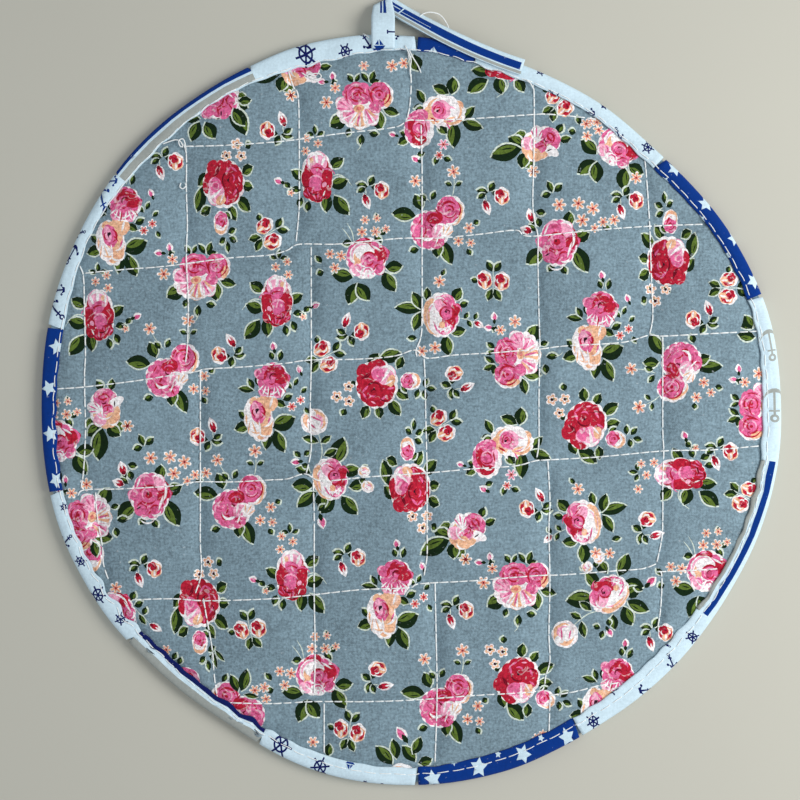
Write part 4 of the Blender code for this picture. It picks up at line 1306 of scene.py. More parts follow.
def cloth_points(spacing):
    """A square grid over the round, less what lies near a seam, plus the seam rows."""
    line = np.arange(-CLOTH_HALF, CLOTH_HALF + 0.1, spacing)
    points = filled(line, line)
    far = seam_distance(*points.T) > SEAM_ROWS[-1] + 0.5
    points = np.vstack([points[far], seam_points()])
    inset, _ = inset_of(*points.T)
    return points[inset > PANEL_INSET + 0.7]


def rim_of(flat, faces):
    """Numbers of the points on the outline of triangles, in order of bearing."""
    sides = np.vstack([faces[:, (0, 1)], faces[:, (1, 2)], faces[:, (2, 0)]])
    _, index, count = np.unique(np.sort(sides, 1), axis=0, return_index=True,
                                return_counts=True)
    rim = np.unique(sides[index[count == 1]])
    return rim[np.argsort(np.arctan2(flat[rim, 1], flat[rim, 0]))]


def quilt_under(x, y):
    """Underside: flat on the floor, drawn up a little along the seams, and over the
    binding's lower leaf at the edge."""
    inset, _ = inset_of(x, y)
    edge = steady(UNDER_INSET, UNDER_EDGE, inset)
    return np.maximum(edge, 0.02 + 0.7 * np.exp(-seam_distance(x, y) / 2.2))


def build_quilt(sizes, inks, materials):
    """The quilt: its top cut along the print and raised by quilt_top(), a plain
    underside cut to the same rim, and a wall of two rows of quads between them."""
    outline = ring_at(PANEL_INSET, 2.0)
    reach = np.hypot(*outline.T).max()
    shapes = [(ink, ring) for ink, ring in rose_print() if np.hypot(*ring.T).min() < reach]
    flat, faces, face_inks = cut_cloth(outline, cloth_points(sizes.cloth_grid / MM), shapes)
    puff = round(sizes.puff / MM, 3)
    rim = rim_of(flat, faces)
    edge = flat[rim]
    low_flat, low_faces, _ = cut_cloth(edge, cloth_points(UNDER_GRID)[::3], [])
    low_rim = rim_of(low_flat, low_faces) + len(flat)
    low_faces = low_faces[:, ::-1] + len(flat)
    bearing = np.arctan2(edge[:, 1], edge[:, 0])
    outward = np.stack([np.cos(bearing), np.sin(bearing)], 1)
    middle = np.arange(len(rim)) + len(flat) + len(low_flat)
    after = np.roll(np.arange(len(rim)), -1)
    wall = np.vstack([np.stack([top, low, low[after], top[after]], 1)
                      for top, low in ((rim, middle), (middle, low_rim))])
    points = np.vstack([
        np.c_[flat, quilt_top(*flat.T, puff)],
        np.c_[low_flat, quilt_under(*low_flat.T)],
        np.c_[edge + outward * BULGE, np.full(len(rim), (GRIP_LOW + GRIP_HIGH) / 2)],
    ])
    normals = np.vstack([
        top_normals(*flat.T, puff),
        np.broadcast_to((0.0, 0.0, -1.0), (len(low_flat), 3)),
        np.c_[outward, np.zeros(len(rim))],
    ])
    quilt = make_piece("quilted_round", points,
                       faces.tolist() + low_faces.tolist() + wall.tolist(), materials, normals)
    sides = np.repeat((3, 4), (len(faces) + len(low_faces), len(wall)))
    plain = len(sides) - len(faces)
    paint(quilt, np.r_[face_inks, np.full(plain, GROUND)], sides, inks)
    quilt.data.polygons.foreach_set("material_index", np.repeat((0, 1), (len(faces), plain)))
    bake_map(quilt, points[:, :2], faces, low_faces, wall)
    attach(quilt, "root")
    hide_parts("quilted_panel")


def bake_map(quilt, flat, faces, low_faces, wall):
    """The UV map: the top's plan fills the square, with the wall as a ring of two
    1 mm rows round it, and the plain underside small in the corner."""
    top_uv = TOP_SPOT + flat[faces] * TOP_SCALE
    low_uv = UNDER_SPOT + flat[low_faces] * UNDER_SCALE
    push = np.array([[0, 1, 1, 0], [1, 2, 2, 1]]).repeat(len(wall) // 2, 0)[..., None]
    corner = flat[wall]
    outward = corner / np.linalg.norm(corner, axis=2)[..., None]
    wall_uv = TOP_SPOT + (corner + outward * push) * TOP_SCALE
    layer = quilt.data.uv_layers.new(name="OFBake")
    uv = np.vstack([part.reshape(-1, 2) for part in (top_uv, low_uv, wall_uv)])
    layer.data.foreach_set("uv", uv.ravel())


# --- binding -----------------------------------------------------------------

# Across the strip, from its lower leaf's edge, round the fold, to its sewn inner edge:
# the place in its flat width, and how far in from the mat's edge and how high that lies
LEAF_PLACE = (-11.2, -10.9, -4.4, -3.3, -2.2, 0.0, 0.9, 2.2, 4.6, 7.0, 8.0, 8.5)
LEAF_INSET = (8.0, 7.9, 1.5, 0.5, 0.05, 0.05, 0.5, 1.8, 4.4, 6.9, 7.85, 8.0)
LEAF_HEIGHT = (0.25, 0.05, 0.05, 0.35, 1.3, 3.4, 4.25, 4.8, 5.0, 4.8, 4.5, 4.05)
STRIP_LENGTH = 2 * math.pi * NOMINAL_RADIUS


def stitch_place(bearing):
    """The sewing line's place across the strip: one cosine wave round the mat."""
    return 6.3 + 1.25 * np.cos(bearing - 2.0)


def binding_point(round_it, across):
    """A point of the binding's outside from its distance round the nominal circle and
    its place across the strip. The section is the same all round; its upper leaf
    stretches with the leaf's reach, dips at the sewing line and puckers inside it."""
    bearing = round_it / NOMINAL_RADIUS
    inset = steady(LEAF_PLACE, LEAF_INSET, across)
    height = steady(LEAF_PLACE, LEAF_HEIGHT, across)
    upper = smooth_step(across, 0.5, 3.0)
    inset = inset * (1 + upper * (leaf_reach(bearing) / NOMINAL_COVER - 1))
    dip = np.exp(-(((across - stitch_place(bearing)) / 0.75) ** 2))
    height = height - 0.22 * dip * upper
    height = height + 0.13 * gathers(bearing) * smooth_step(across, 1.0, 6.0)
    x, y = NOMINAL_RADIUS * np.cos(bearing), NOMINAL_RADIUS * np.sin(bearing)
    height = height + 0.12 * lumps(x + 3 * across, y + across, 26, 21) * upper
    inset = inset + 0.10 * lumps(x, y, 40, 22) * smooth_step(across, -3.5, -2.2)
    radius = rim_radius(bearing) - inset
    return np.stack([radius * np.cos(bearing), radius * np.sin(bearing), height], -1)


def strip_place(points):
    """Plan steps over the binding turned into the strip's own flat coordinates."""
    x, y = plan(points).T
    inset, bearing = inset_of(x, y)
    across = np.interp(inset * NOMINAL_COVER / leaf_reach(bearing),
                       LEAF_INSET[5:], LEAF_PLACE[5:])
    return np.stack([(bearing % (2 * np.pi)) * NOMINAL_RADIUS, across], 1)


# Places across the strip of its rows of points, and the space between points along it
STRIP_ROWS = (-9.0, -6.5, -4.6, -3.8, -3.0, -2.2, -1.0, 0.0, 0.7, 1.5, 2.4, 3.3, 4.2, 4.9,
              5.4, 5.9, 6.4, 7.0, 7.6, 8.1)
STRIP_STEP = 1.6


def build_binding(sizes, inks, material):
    """The binding: its flat strip cut along its print, bent by binding_point(), and
    thickened inwards."""
    outline = box_ring(0, STRIP_LENGTH, LEAF_PLACE[0], LEAF_PLACE[-1], STRIP_STEP, 0.9)
    along = np.arange(STRIP_STEP, STRIP_LENGTH - STRIP_STEP / 2, STRIP_STEP)
    flat, faces, face_inks = cut_cloth(outline, filled(along, STRIP_ROWS), binding_print())
    binding = make_piece("bound_edge", binding_point(*flat.T), faces.tolist(), [material])
    paint(binding, face_inks, np.full(len(faces), 3), inks)
    weld(binding)
    thicken(binding, sizes.binding_cloth, -1.0)
    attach(binding, "root")
    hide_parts("edge_binding")


# --- hanging loop ------------------------------------------------------------

LOOP_LENGTH = CREASE_Y - LEG_FOOT_Y + TAIL_LENGTH
HALF_STRIP = 5.0  # the strip's flat coordinates run this far either side of its middle
LOOP_STEP = 0.8


def unfolded(along, across):
    """The strip before it is folded: straight up to the crease, then round an arc."""
    width = LEG_WIDTH + (TAIL_WIDTH - LEG_WIDTH) * smooth_step(along, *TAPER)
    sideways = across * width / 2
    past = along - (CREASE_Y - LEG_FOOT_Y)
    arc_radius = TAIL_LENGTH / math.radians(TAIL_TURN_DEG)
    turn = np.maximum(past, 0) / arc_radius
    reach = arc_radius - sideways
    x = np.where(past < 0, sideways, arc_radius - reach * np.cos(turn))
    y = np.where(past < 0, past, reach * np.sin(turn))
    return LEG_X + x, CREASE_Y + y


def strip_point(along, across):
    """The strip rolled back under itself round the slanting crease: past the crease a
    point turns half a circle of FOLD_RADIUS and lies mirrored below."""
    slant = math.radians(CREASE_DEG)
    nx, ny = -math.sin(slant), math.cos(slant)
    x, y = unfolded(along, across)
    half_roll = math.pi * FOLD_RADIUS / 2
    past = (x - LEG_X) * nx + (y - CREASE_Y) * ny + half_roll
    turn = np.clip(past / FOLD_RADIUS, 0, math.pi)
    straight = np.maximum(past - 2 * half_roll, 0)
    back = np.where(past > 0, past - FOLD_RADIUS * np.sin(turn) + straight, 0)
    x, y = x - nx * back, y - ny * back
    lift = np.where(past > 0, FOLD_RADIUS * (1 + np.cos(turn)), 2 * FOLD_RADIUS)
    from_crease = np.abs(along - (CREASE_Y - LEG_FOOT_Y))
    lift = lift * (1 - smooth_step(from_crease, *LIFTED))
    outside = np.hypot(x, y) - rim_radius(np.arctan2(y, x))
    base = LAID_HIGH + (LAID_LOW - LAID_HIGH) * smooth_step(outside, *RAMP)
    return np.stack([x, y, base + lift], -1)


def loop_point(along, flat_across):
    """strip_point(), with the strip's middle a little fuller than its folded edges
    and a few soft creases along it."""
    across = flat_across / HALF_STRIP
    point = strip_point(along, across)
    crown = 0.22 * (1 - across**4) + 0.10 * lumps(along * 1.5, flat_across, 16, 31)
    over = along < CREASE_Y - LEG_FOOT_Y
    point[..., 2] += np.where(over, crown, 0.4 * crown) - 0.05
    return point


def build_loop(inks, material):
    """The loop: its flat strip cut along its print, folded by loop_point(), and
    thickened both ways."""
    outline = box_ring(0, LOOP_LENGTH, -HALF_STRIP, HALF_STRIP, LOOP_STEP, 1.25)
    along = np.arange(LOOP_STEP, LOOP_LENGTH - LOOP_STEP / 2, LOOP_STEP)
    rows = np.linspace(-HALF_STRIP, HALF_STRIP, 11)[1:-1]
    flat, faces, face_inks = cut_cloth(outline, filled(along, rows), loop_print())
    loop = make_piece("folded_loop", loop_point(*flat.T), faces[:, ::-1].tolist(), [material])
    paint(loop, face_inks, np.full(len(faces), 3), inks)
    thicken(loop, STRIP_THICK * MM, 0.0)
    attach(loop, "root")
    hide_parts("hanging_loop")


# --- stitching and loose ends -------------------------------------------------

SIDES = 6  # of every thread's section


def tube_rows(path, radius):
    """Rings of points round paths (any number of paths, by stations, by 3): a circle
    of SIDES points square to the path, one of its directions level."""
    along = np.gradient(path, axis=-2)
    along /= np.linalg.norm(along, axis=-1)[..., None]
    side = np.cross(along, (0, 0, 1))
    side /= np.linalg.norm(side, axis=-1)[..., None]
    lift = np.cross(side, along)
    turn = np.arange(SIDES)[:, None] * 2 * np.pi / SIDES
    radius = np.broadcast_to(radius, path.shape[:-1])[..., None, None]
    return (path[..., None, :] + radius * (np.cos(turn) * side[..., None, :]
                                           + np.sin(turn) * lift[..., None, :]))


def tubes(name, rings, material):
    """Closed tubes from rings of points (tubes by stations by sides by 3): quads from
    each ring to the next, and a face over both ends."""
    many, stations = rings.shape[:2]
    each = stations * SIDES
    first = np.arange(each - SIDES)
    after = first - first % SIDES + (first + 1) % SIDES
    quads = np.stack([first, after, after + SIDES, first + SIDES], 1)
    caps = np.stack([np.arange(SIDES)[::-1], np.arange(each - SIDES, each)])
    start = (np.arange(many) * each)[:, None, None]
    faces = (quads + start).reshape(-1, 4).tolist()
    faces += (caps + start).reshape(-1, SIDES).tolist()
    piece = make_piece(name, rings.reshape(-1, 3), faces, [material])
    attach(piece, "root")


STATIONS = 7  # points along each stitch


def stitches(run, pitch, share, seed):
    """Plan points of the stitches of one run: (stitches, STATIONS, 2), each a share of
    the pitch long, with its start and length a little uneven by a seeded draw."""
    p = smooth_run(run, 0.5)
    length = np.r_[0, np.cumsum(np.linalg.norm(np.diff(p, axis=0), axis=1))]
    draw = np.random.default_rng(seed)
    many = max(1, int(length[-1] / pitch))
    start = (np.arange(many) + draw.uniform(-0.05, 0.05, many)) * length[-1] / many
    long = pitch * share * draw.uniform(0.93, 1.05, many)
    at = start[:, None] + long[:, None] * np.linspace(0, 1, STATIONS)
    return np.stack([np.interp(at, length, column) for column in p.T], -1)


def bowed(low, rise, power):
    """Height of the stations of a stitch: low at its ends, and a sine's half wave to
    a power over its length."""
    return low + rise * np.sin(np.pi * np.linspace(0, 1, STATIONS)) ** power


def build_quilting(sizes, material):
    """The quilting: stitches along every run, laid on the cloth and bowed over it."""
    pitch, radius = sizes.stitch_pitch / MM, sizes.thread / MM / 2
    made = []
    for seams, share in ((UPRIGHT_RUNS, 1.0), (CROSS_RUNS, 0.94)):
        for number, run in enumerate(run for seam in seams for run in seam):
            made.append(stitches(plan(run), pitch, share, 40 + number))
    flat = np.concatenate(made)
    height = quilt_top(*flat.reshape(-1, 2).T, round(sizes.puff / MM, 3))
    height = height.reshape(flat.shape[:2])
    height = height.max(1, keepdims=True) * 0.35 + height * 0.65
    path = np.concatenate([flat, (height + bowed(-0.30, 0.72, 0.25))[..., None]], -1)
    tubes("quilting_stitches", tube_rows(path, radius), material)


def build_edge_stitches(sizes, material):
    """The binding's stitches: one row round the mat along stitch_place(), which drifts
    by two slow sine waves, bowed over the cloth."""
    pitch, radius = sizes.edge_stitch_pitch / MM, sizes.thread / MM / 2
    many = round(STRIP_LENGTH / pitch)
    draw = np.random.default_rng(77)
    start = (np.arange(many) + draw.uniform(-0.06, 0.06, many)) * STRIP_LENGTH / many
    at = start[:, None] + pitch * 0.93 * np.linspace(0, 1, STATIONS)
    drift = 0.25 * np.sin(at / 31.0) + 0.18 * np.sin(at / 11.0)
    path = binding_point(at, stitch_place(at / NOMINAL_RADIUS) + drift)
    path[..., 2] += bowed(-0.40, 0.62, 0.3)
    tubes("edge_stitches", tube_rows(path, radius * 0.64), material)


# (points right and down in steps, height in millimetres) of each loose thread
LOOSE_THREADS = (
    ((417, 18, 3.0), (424, 13, 3.6), (432, 12, 3.9), (441, 15, 3.2), (448, 25, 2.6),
     (449.5, 34, 3.4), (449, 45, 1.6)),
    ((465, 40, 2.6), (471, 48, 3.6), (480, 56, 4.6), (495, 63.5, 5.9)),
    ((405, 46, 5.3), (408, 52, 5.6), (411, 60, 5.1), (410, 70, 4.6), (411, 78, 4.2)),
    ((409, 50, 5.3), (413, 58, 5.4), (418, 66, 5.2), (421, 73, 5.0)),
    ((526, 80, 4.9), (530, 83, 5.0), (534, 90, 4.5)),
    ((302, 73, 5.0), (308, 77, 5.2), (315, 80, 5.6), (321, 78, 5.8), (320, 74.5, 5.7),
     (314, 74, 5.5), (306, 76, 5.2)),
    ((163, 144, 5.0), (169, 142, 5.2), (176, 140, 5.2), (181, 142, 5.3), (183, 147, 5.2),
     (180, 146, 5.4), (179, 141, 5.4), (183, 139, 5.3), (185, 143, 5.1), (186, 150, 4.4)),
    ((181, 183, 4.8), (180, 187, 5.3), (183, 189, 5.2), (186, 186, 4.8), (185, 183, 4.6)),
    ((369, 38, 5.6), (366, 35, 4.2), (363, 33, 3.0)),
)


def build_loose_threads(sizes, material):
    """Thread ends: each a tube on a smooth curve through its named points."""
    radius = sizes.thread / MM * 0.42
    for number, row in enumerate(LOOSE_THREADS):
        row = np.array(row, float)
        path = smooth_run(np.c_[plan(row[:, :2]), row[:, 2]], 0.7)
        tubes(f"loose_thread_{number + 1}", tube_rows(path[None], radius), material)


# --- finishes ----------------------------------------------------------------


def linear(srgb):
    """Screen colours turned into the values that light is worked out in."""
    srgb = np.asarray(srgb, float)
    return np.where(srgb <= 0.04045, srgb / 12.92, ((srgb + 0.055) / 1.055) ** 2.4)


class Wiring:
    """Shorthand for placing nodes in one tree and linking them."""

    def __init__(self, tree):
        self.tree = tree

    def node(self, kind, **settings):
        """A new shader node with its settings."""
        made = self.tree.nodes.new("ShaderNode" + kind)
        for key, value in settings.items():
            setattr(made, key, value)
        return made

    def put(self, socket, value):
        """Links an output to a socket, or sets the socket's own value."""
        if isinstance(value, bpy.types.NodeSocket):
            self.tree.links.new(value, socket)
        else:
            socket.default_value = value

    def math(self, operation, *values):
        """The outcome of an operation on values or outputs."""
        made = self.node("Math", operation=operation)
        for socket, value in zip(made.inputs, values):
            self.put(socket, value)
        return made.outputs[0]

    def noise(self, vector, scale, detail=2.0, roughness=0.5, distortion=0.0):
        """Noise at a place, with that many waves a metre in its broadest layer."""
        made = self.node("TexNoise")
        values = (vector, scale, detail, roughness, distortion)
        for name, value in zip(("Vector", "Scale", "Detail", "Roughness", "Distortion"), values):
            self.put(made.inputs[name], value)
        return made.outputs["Fac"]

    def spread(self, value, low, high, to_low=0.0, to_high=1.0):
        """A value moved in a straight line from one range to another."""
        made = self.node("MapRange")
        for socket, number in zip(made.inputs, (value, low, high, to_low, to_high)):
            self.put(socket, number)
        return made.outputs[0]

    def stretched(self, vector, x, y, z):
        """A place with each of its coordinates multiplied."""
        made = self.node("Mapping")
        self.put(made.inputs["Vector"], vector)
        made.inputs["Scale"].default_value = (x, y, z)
        return made.outputs["Vector"]

    def blend(self, factor, first, second, kind="MIX"):
        """Two colours mixed, or the first one multiplied by the second."""
        made = self.node("Mix", data_type="RGBA", blend_type=kind)
        for number, value in ((0, factor), (6, first), (7, second)):
            self.put(made.inputs[number], value)
        return made.outputs[2]


def new_group(name, inputs, outputs):
    """A node group with named sockets: its tree, its wiring, the outputs of its input
    node and the inputs of its output node."""
    tree = bpy.data.node_groups.new(name, "ShaderNodeTree")
    for title, kind, default in inputs:
        socket = tree.interface.new_socket(title, in_out="INPUT",
                                           socket_type="NodeSocket" + kind)
        if default is not None:
            socket.default_value = default
    for title, kind in outputs:
        tree.interface.new_socket(title, in_out="OUTPUT", socket_type="NodeSocket" + kind)
    ins, outs = tree.nodes.new("NodeGroupInput"), tree.nodes.new("NodeGroupOutput")
    return tree, Wiring(tree), ins.outputs, outs.inputs


def plain_weave():
    """Cotton's over-and-under threads. Two rows of sine ridges at right angles, the
    warp and the weft, each broken into slubs by noise stretched along its threads."""
    tree, w, ins, outs = new_group(
        "plain weave",
        (("Coordinates", "Vector", None), ("Threads per metre", "Float", 2600.0),
         ("Slub", "Float", 0.5)),
        (("Height", "Float"), ("Speckle", "Float")))
    at = ins["Coordinates"]
    split = w.node("SeparateXYZ")
    w.put(split.inputs[0], at)
    ridges = []
    for axis in (0, 1):
        turn = w.math("MULTIPLY", split.outputs[axis], ins["Threads per metre"])
        ridges.append(w.math("SINE", w.math("MULTIPLY", turn, math.pi)))
    weave = w.math("MULTIPLY", *ridges)
    warp = w.noise(w.stretched(at, 1500, 260, 260), 1.0)
    weft = w.noise(w.stretched(at, 260, 1500, 260), 1.0)
    slub = w.math("ADD", warp, weft)
    fine = w.noise(at, 950.0, 3.0, 0.65)
    speckle = w.math("ADD", w.math("MULTIPLY", slub, 0.2), w.math("MULTIPLY", fine, 0.7))
    w.put(outs["Speckle"], w.spread(speckle, 0.42, 0.68))
    w.put(outs["Height"], w.math("ADD", w.math("MULTIPLY", weave, 0.35),
                                 w.math("MULTIPLY", slub, ins["Slub"])))
    return tree


THREAD_HEIGHT = 0.00018  # metres from the weave's valleys to its ridges
DEEP_STROKE, BRIGHT_STROKE = (0.55, 0.16, 0.24, 1), (0.82, 0.66, 0.68, 1)
FLECK = (0.62, 0.68, 0.72, 1)  # colour where the ink missed the threads


def printed_colour():
    """Ink on cloth: deep and bright brush strokes where swirling noise is low or high,
    then a soft, uneven tint over wide patches, a fine darker and lighter speckle, a
    little dust and fading, and small pale flecks."""
    tree, w, ins, outs = new_group(
        "printed colour",
        (("Ink", "Color", (0.5, 0.5, 0.5, 1)), ("Coordinates", "Vector", None),
         ("Speckle", "Float", 0.5), ("Strokes", "Float", 0.0),
         ("Speckle strength", "Float", 0.25), ("Patch strength", "Float", 0.08)),
        (("Colour", "Color"), ("Roughness", "Float")))
    at = ins["Coordinates"]
    patch = w.spread(w.noise(at, 22.0, 3.0, 0.55), 0.3, 0.7, -1.0, 1.0)
    dust = w.spread(w.noise(at, 150.0, 4.0, 0.6), 0.3, 0.7, -1.0, 1.0)
    grain = w.spread(ins["Speckle"], 0.0, 1.0, -1.0, 1.0)
    gain = w.math("MULTIPLY_ADD", grain, ins["Speckle strength"], 1.0)
    gain = w.math("MULTIPLY_ADD", patch, ins["Patch strength"], gain)
    gain = w.math("MULTIPLY_ADD", dust, 0.035, gain)
    swirls = w.noise(at, 250.0, 1.0, 0.5, 2.2)
    deep = w.math("MULTIPLY", w.spread(swirls, 0.41, 0.35), ins["Strokes"])
    bright = w.math("MULTIPLY", w.spread(swirls, 0.61, 0.67), ins["Strokes"])
    brushed = w.blend(deep, ins["Ink"], DEEP_STROKE, "MULTIPLY")
    brushed = w.blend(bright, brushed, BRIGHT_STROKE)
    colour = w.node("VectorMath", operation="SCALE")
    w.put(colour.inputs[0], brushed)
    w.put(colour.inputs["Scale"], gain)
    flecks = w.spread(w.noise(at, 620.0, 2.0, 0.5), 0.70, 0.76, 0.0, 0.35)
    w.put(outs["Colour"], w.blend(flecks, colour.outputs[0], FLECK))
    w.put(outs["Roughness"], w.spread(patch, -1.0, 1.0, 0.84, 0.94))
    return tree


def shared(name, build):
    """A node group or material by name, built the first time it is asked for."""
    for store in (bpy.data.node_groups, bpy.data.materials):
        if name in store:
            return store[name]
    return build()


def new_material(name):
    """A material, its wiring and the inputs of its shader."""
    material = bpy.data.materials.new(name)
    material.use_nodes = True
    shader = material.node_tree.nodes["Principled BSDF"]
    return material, Wiring(material.node_tree), shader.inputs


def cloth_finish(name, ink=None, threads=2600.0, speckle=0.32, patch=0.09, bump=0.5,
                 sheen=0.06):
    """A cotton material: inks from the mesh's "ink" and "strokes", or one ink of its
    own, on a weave that bumps the surface."""
    weaving = shared("plain weave", plain_weave)
    printing = shared("printed colour", printed_colour)
    material, w, shader = new_material(name)
    at = w.node("TexCoord").outputs["Object"]
    weave = w.node("Group", node_tree=weaving)
    w.put(weave.inputs["Threads per metre"], threads)
    w.put(weave.inputs["Coordinates"], at)
    tint = w.node("Group", node_tree=printing)
    if ink is None:
        w.put(tint.inputs["Ink"], w.node("Attribute", attribute_name="ink").outputs[0])
        strokes = w.node("Attribute", attribute_name="strokes")
        w.put(tint.inputs["Strokes"], strokes.outputs["Fac"])
    else:
        w.put(tint.inputs["Ink"], (*linear(ink), 1))
    w.put(tint.inputs["Coordinates"], at)
    w.put(tint.inputs["Speckle"], weave.outputs["Speckle"])
    w.put(tint.inputs["Speckle strength"], speckle)
    w.put(tint.inputs["Patch strength"], patch)
    w.put(shader["Base Color"], tint.outputs["Colour"])
    w.put(shader["Roughness"], tint.outputs["Roughness"])
    raised = w.node("Bump")
    w.put(raised.inputs["Strength"], bump)
    w.put(raised.inputs["Distance"], THREAD_HEIGHT)
    w.put(raised.inputs["Height"], weave.outputs["Height"])
    w.put(shader["Normal"], raised.outputs["Normal"])
    w.put(shader["Specular IOR Level"], 0.12)
    w.put(shader["Sheen Weight"], sheen)
    w.put(shader["Sheen Roughness"], 0.5)
    return material


def ink_table(colours):
    """One row of light values an ink, in the order of INKS."""
    rows = [[*linear(getattr(colours, ink)), 1.0] for ink in INKS]
    return np.array(rows, np.float32)


def binding_cotton():
    """The cotton of the binding and the loop."""
    return cloth_finish("binding cotton", speckle=0.07, patch=0.05, bump=0.4)


# --- what a user may change ---------------------------------------------------


def length(name, description, default, low, high):
    """A size in metres, and the range that a user may choose from."""
    return FloatProperty(name=name, description=description, default=default, min=low,
                         max=high, subtype="DISTANCE", unit="LENGTH", precision=5)


def screen_colour(name, description, red, green, blue):
    """A colour, as screens give it: red, green and blue up to 255."""
    return FloatVectorProperty(name=name, description=description, size=3, min=0, max=1,
                               subtype="COLOR_GAMMA",
                               default=(red / 255, green / 255, blue / 255))


class MatSizes(bpy.types.PropertyGroup):
    """Sizes of the sewing and the filling."""

    puff: length("Puff", "How far a square rises above its seams", PUFF * MM, 0, 0.01)
    cloth_grid: length("Cloth grid", "Spacing of the quilt's mesh", 0.0040, 0.001, 0.01)
    binding_cloth: length("Binding cloth", "Thickness of the folded binding", 0.0009,
                          0.0002, 0.002)
    thread: length("Thread", "Diameter of the sewing thread", 0.00064, 0.0002, 0.001)
    stitch_pitch: length("Stitch pitch", "From one quilting stitch to the next", 0.0044,
                         0.002, 0.01)
    edge_stitch_pitch: length("Edge stitch pitch", "From one stitch of the binding to "
                              "the next", 0.0067, 0.002, 0.01)


class MatColours(bpy.types.PropertyGroup):
    """Inks of the rose cotton and the binding, and the thread."""

    ground: screen_colour("Ground", "Grey blue between the flowers", 124, 147, 159)
    outline: screen_colour("Outline", "Pale line round leaves", 206, 218, 206)
    cream: screen_colour("Cream", "White of the petals", 240, 238, 239)
    peach: screen_colour("Peach", "Peach of the petals", 236, 184, 148)
    salmon: screen_colour("Salmon", "Hearts of the small flowers", 216, 122, 112)
    light_pink: screen_colour("Light pink", "Pale pink of the petals", 240, 168, 196)
    pink: screen_colour("Pink", "Strong pink of the petals", 220, 102, 150)
    red: screen_colour("Red", "Deep red of the roses", 180, 30, 54)
    dark_red: screen_colour("Dark red", "Folds between red petals", 112, 10, 32)
    near_black: screen_colour("Near black", "Hearts and dark folds", 48, 20, 34)
    dark_green: screen_colour("Dark green", "Shaded half of a leaf", 14, 36, 14)
    olive: screen_colour("Olive", "Lit half of a leaf", 90, 112, 44)
    white_cloth: screen_colour("White", "Ground of the binding", 205, 228, 240)
    blue: screen_colour("Blue", "Blue blocks of the binding", 2, 52, 132)
    navy: screen_colour("Navy", "Small navy figures", 12, 26, 90)
    grey: screen_colour("Grey", "Grey stripes and anchors", 160, 166, 162)
    thread: screen_colour("Thread", "Sewing thread", 244, 248, 248)
    backing: screen_colour("Backing", "Cloth of the underside", 124, 147, 159)


class MatStage(bpy.types.PropertyGroup):
    """Floor, light and camera."""

    floor: screen_colour("Floor", "Pale floor", 194, 193, 182)
    key: FloatProperty(name="Key light", description="Strength of the main light",
                       default=7.8, min=0, max=500, unit="POWER")
    fill: FloatProperty(name="Fill light", description="Strength of the second light",
                        default=3.0, min=0, max=500, unit="POWER")
    sky: FloatProperty(name="Surroundings", description="Strength of the even light",
                       default=0.43, min=0, max=5)
    camera_height: length("Camera height", "Above the mat's top", 0.75, 0.3, 5)


def settings(context):
    """The three groups of settings: sizes, colours and stage."""
    scene = context.scene
    return scene.mat_sizes, scene.mat_colours, scene.mat_stage


class MAT_OT_quilt(bpy.types.Operator):
    """Build the printed, square-quilted round with its plain underside"""

    bl_idname = "mat.quilt"
    bl_label = "Quilted round"

    def execute(self, context):
        sizes, colours, _ = settings(context)
        cloths = [cloth_finish("printed cotton"), cloth_finish("backing cotton", colours.backing)]
        build_quilt(sizes, ink_table(colours), cloths)
        return {"FINISHED"}


class MAT_OT_binding(bpy.types.Operator):
    """Build the pieced strip folded over the mat's edge"""

    bl_idname = "mat.binding"
    bl_label = "Bound edge"

    def execute(self, context):
        sizes, colours, _ = settings(context)
        build_binding(sizes, ink_table(colours), shared("binding cotton", binding_cotton))
        return {"FINISHED"}


class MAT_OT_loop(bpy.types.Operator):
    """Build the folded hanging loop"""

    bl_idname = "mat.loop"
    bl_label = "Hanging loop"

    def execute(self, context):
        _, colours, _ = settings(context)
        build_loop(ink_table(colours), shared("binding cotton", binding_cotton))
        return {"FINISHED"}


class MAT_OT_stitching(bpy.types.Operator):
    """Sew the quilting lines, the binding's seam and the loose thread ends"""

    bl_idname = "mat.stitching"
    bl_label = "Stitching"

    def execute(self, context):
        sizes, colours, _ = settings(context)
        thread = cloth_finish("white thread", colours.thread, threads=5200.0, speckle=0.10,
                              patch=0.05, bump=0.4, sheen=0.3)
        build_quilting(sizes, thread)
        build_edge_stitches(sizes, thread)
        build_loose_threads(sizes, thread)
        return {"FINISHED"}


# --- stage --------------------------------------------------------------------

FLOOR_HALF = 2.0  # the floor runs this many metres from the middle on all four sides
SENSOR = 36.0  # the camera's, in millimetres
VIEW_STEPS = 800  # steps of the plan across the camera's view
VIEW_MIDDLE = (400, 400)  # the place on the plan that the camera hangs over
VIEW_LEVEL = 0.0045  # height in metres at which the view is that wide


def floor_finish(colour):
    """Matt pale floor with a faint soft mottle."""
    material, w, shader = new_material("pale floor")
    mottle = w.noise(w.node("TexCoord").outputs["Object"], 6.0, 3.0)
    low, high = (np.clip(linear(colour) * gain, 0, 1) for gain in (0.985, 1.015))
    w.put(shader["Base Color"], w.blend(w.spread(mottle, 0.3, 0.7), (*low, 1), (*high, 1)))
    w.put(shader["Roughness"], 0.8)
    w.put(shader["Specular IOR Level"], 0.2)
    return material


def lay_floor(colour):
    """A square floor at nought height."""
    half = FLOOR_HALF
    corners = ((-half, -half, 0), (half, -half, 0), (half, half, 0), (-half, half, 0))
    mesh = bpy.data.meshes.new("floor")
    mesh.from_pydata(corners, [], [(0, 1, 2, 3)])
    mesh.materials.append(floor_finish(colour))
    floor = bpy.data.objects.new("floor", mesh)
    bpy.context.scene.collection.objects.link(floor)


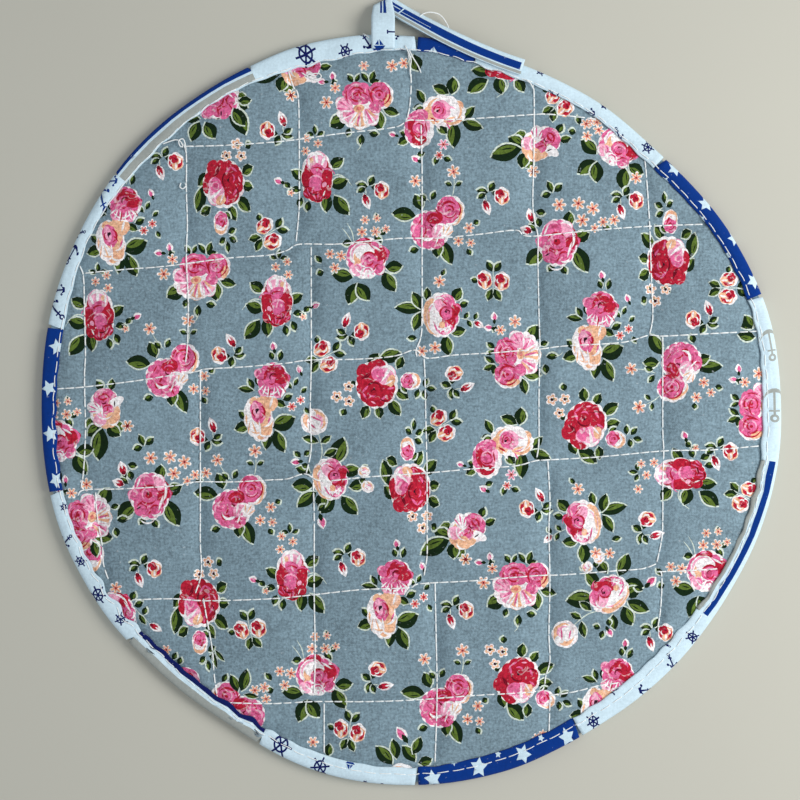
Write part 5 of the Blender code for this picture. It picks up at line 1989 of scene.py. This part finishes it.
def area_light(name, place, size, power, colour):
    """A round lamp at a place, turned to the mat's middle."""
    light = bpy.data.lights.new(name, "AREA")
    light.shape, light.size = "DISK", size
    light.energy, light.color = power, colour
    obj = bpy.data.objects.new(name, light)
    obj.location = place
    obj.rotation_euler = (-Vector(place)).to_track_quat("-Z", "Y").to_euler()
    bpy.context.scene.collection.objects.link(obj)


def surround(scene, strength):
    """Even light from all round, and colours shown just as they are worked out."""
    world = bpy.data.worlds.new("soft surroundings")
    world.use_nodes = True
    background = world.node_tree.nodes["Background"]
    background.inputs["Color"].default_value = (0.93, 0.96, 1.0, 1)
    background.inputs["Strength"].default_value = strength
    scene.world = world
    scene.view_settings.view_transform = "Standard"


def hang_camera(scene, height):
    """A camera that looks straight down; its lens is as many times its sensor as its
    height is times the width that it sees."""
    camera = bpy.data.cameras.new("overhead")
    camera.sensor_width = SENSOR
    camera.lens = SENSOR * height / (VIEW_STEPS * STEP * MM)
    eye = bpy.data.objects.new("overhead", camera)
    x, y = plan(VIEW_MIDDLE) * MM
    eye.location = (x, y, height + VIEW_LEVEL)
    scene.collection.objects.link(eye)
    scene.camera = eye


class MAT_OT_stage(bpy.types.Operator):
    """Lay the floor, set the lights and hang the camera over the mat"""

    bl_idname = "mat.stage"
    bl_label = "Floor, light and camera"

    def execute(self, context):
        _, _, stage = settings(context)
        lay_floor(stage.floor)
        area_light("key", place=(0.74, 0.05, 0.60), size=0.6, power=stage.key,
                   colour=(1.0, 0.985, 0.96))
        area_light("fill", place=(-1.0, -0.5, 1.1), size=1.4, power=stage.fill,
                   colour=(0.92, 0.96, 1.0))
        surround(context.scene, stage.sky)
        hang_camera(context.scene, stage.camera_height)
        return {"FINISHED"}


# --- the add-on -----------------------------------------------------------------

STEPS = (MAT_OT_quilt, MAT_OT_binding, MAT_OT_loop, MAT_OT_stitching, MAT_OT_stage)


class MAT_PT_panel(bpy.types.Panel):
    """Lists the mat's pieces in the sidebar"""

    bl_idname = "MAT_PT_panel"
    bl_label = "Quilted Mat"
    bl_space_type = "VIEW_3D"
    bl_region_type = "UI"
    bl_category = "Quilted Mat"

    def draw(self, context):
        for step in STEPS:
            self.layout.operator(step.bl_idname)
        for group in settings(context):
            box = self.layout.box()
            for name in group.__annotations__:
                box.prop(group, name)


CLASSES = (MatSizes, MatColours, MatStage, *STEPS, MAT_PT_panel)


def register():
    """Makes the classes known, and hangs the settings on the scene."""
    for made in CLASSES:
        bpy.utils.register_class(made)
    bpy.types.Scene.mat_sizes = PointerProperty(type=MatSizes)
    bpy.types.Scene.mat_colours = PointerProperty(type=MatColours)
    bpy.types.Scene.mat_stage = PointerProperty(type=MatStage)


def unregister():
    """Takes away what register() put in place."""
    del bpy.types.Scene.mat_sizes, bpy.types.Scene.mat_colours, bpy.types.Scene.mat_stage
    for made in reversed(CLASSES):
        bpy.utils.unregister_class(made)


def main():
    register()
    bpy.ops.mat.quilt()
    bpy.ops.mat.binding()
    bpy.ops.mat.loop()
    bpy.ops.mat.stitching()
    bpy.ops.mat.stage()


if __name__ == "__main__":
    main()
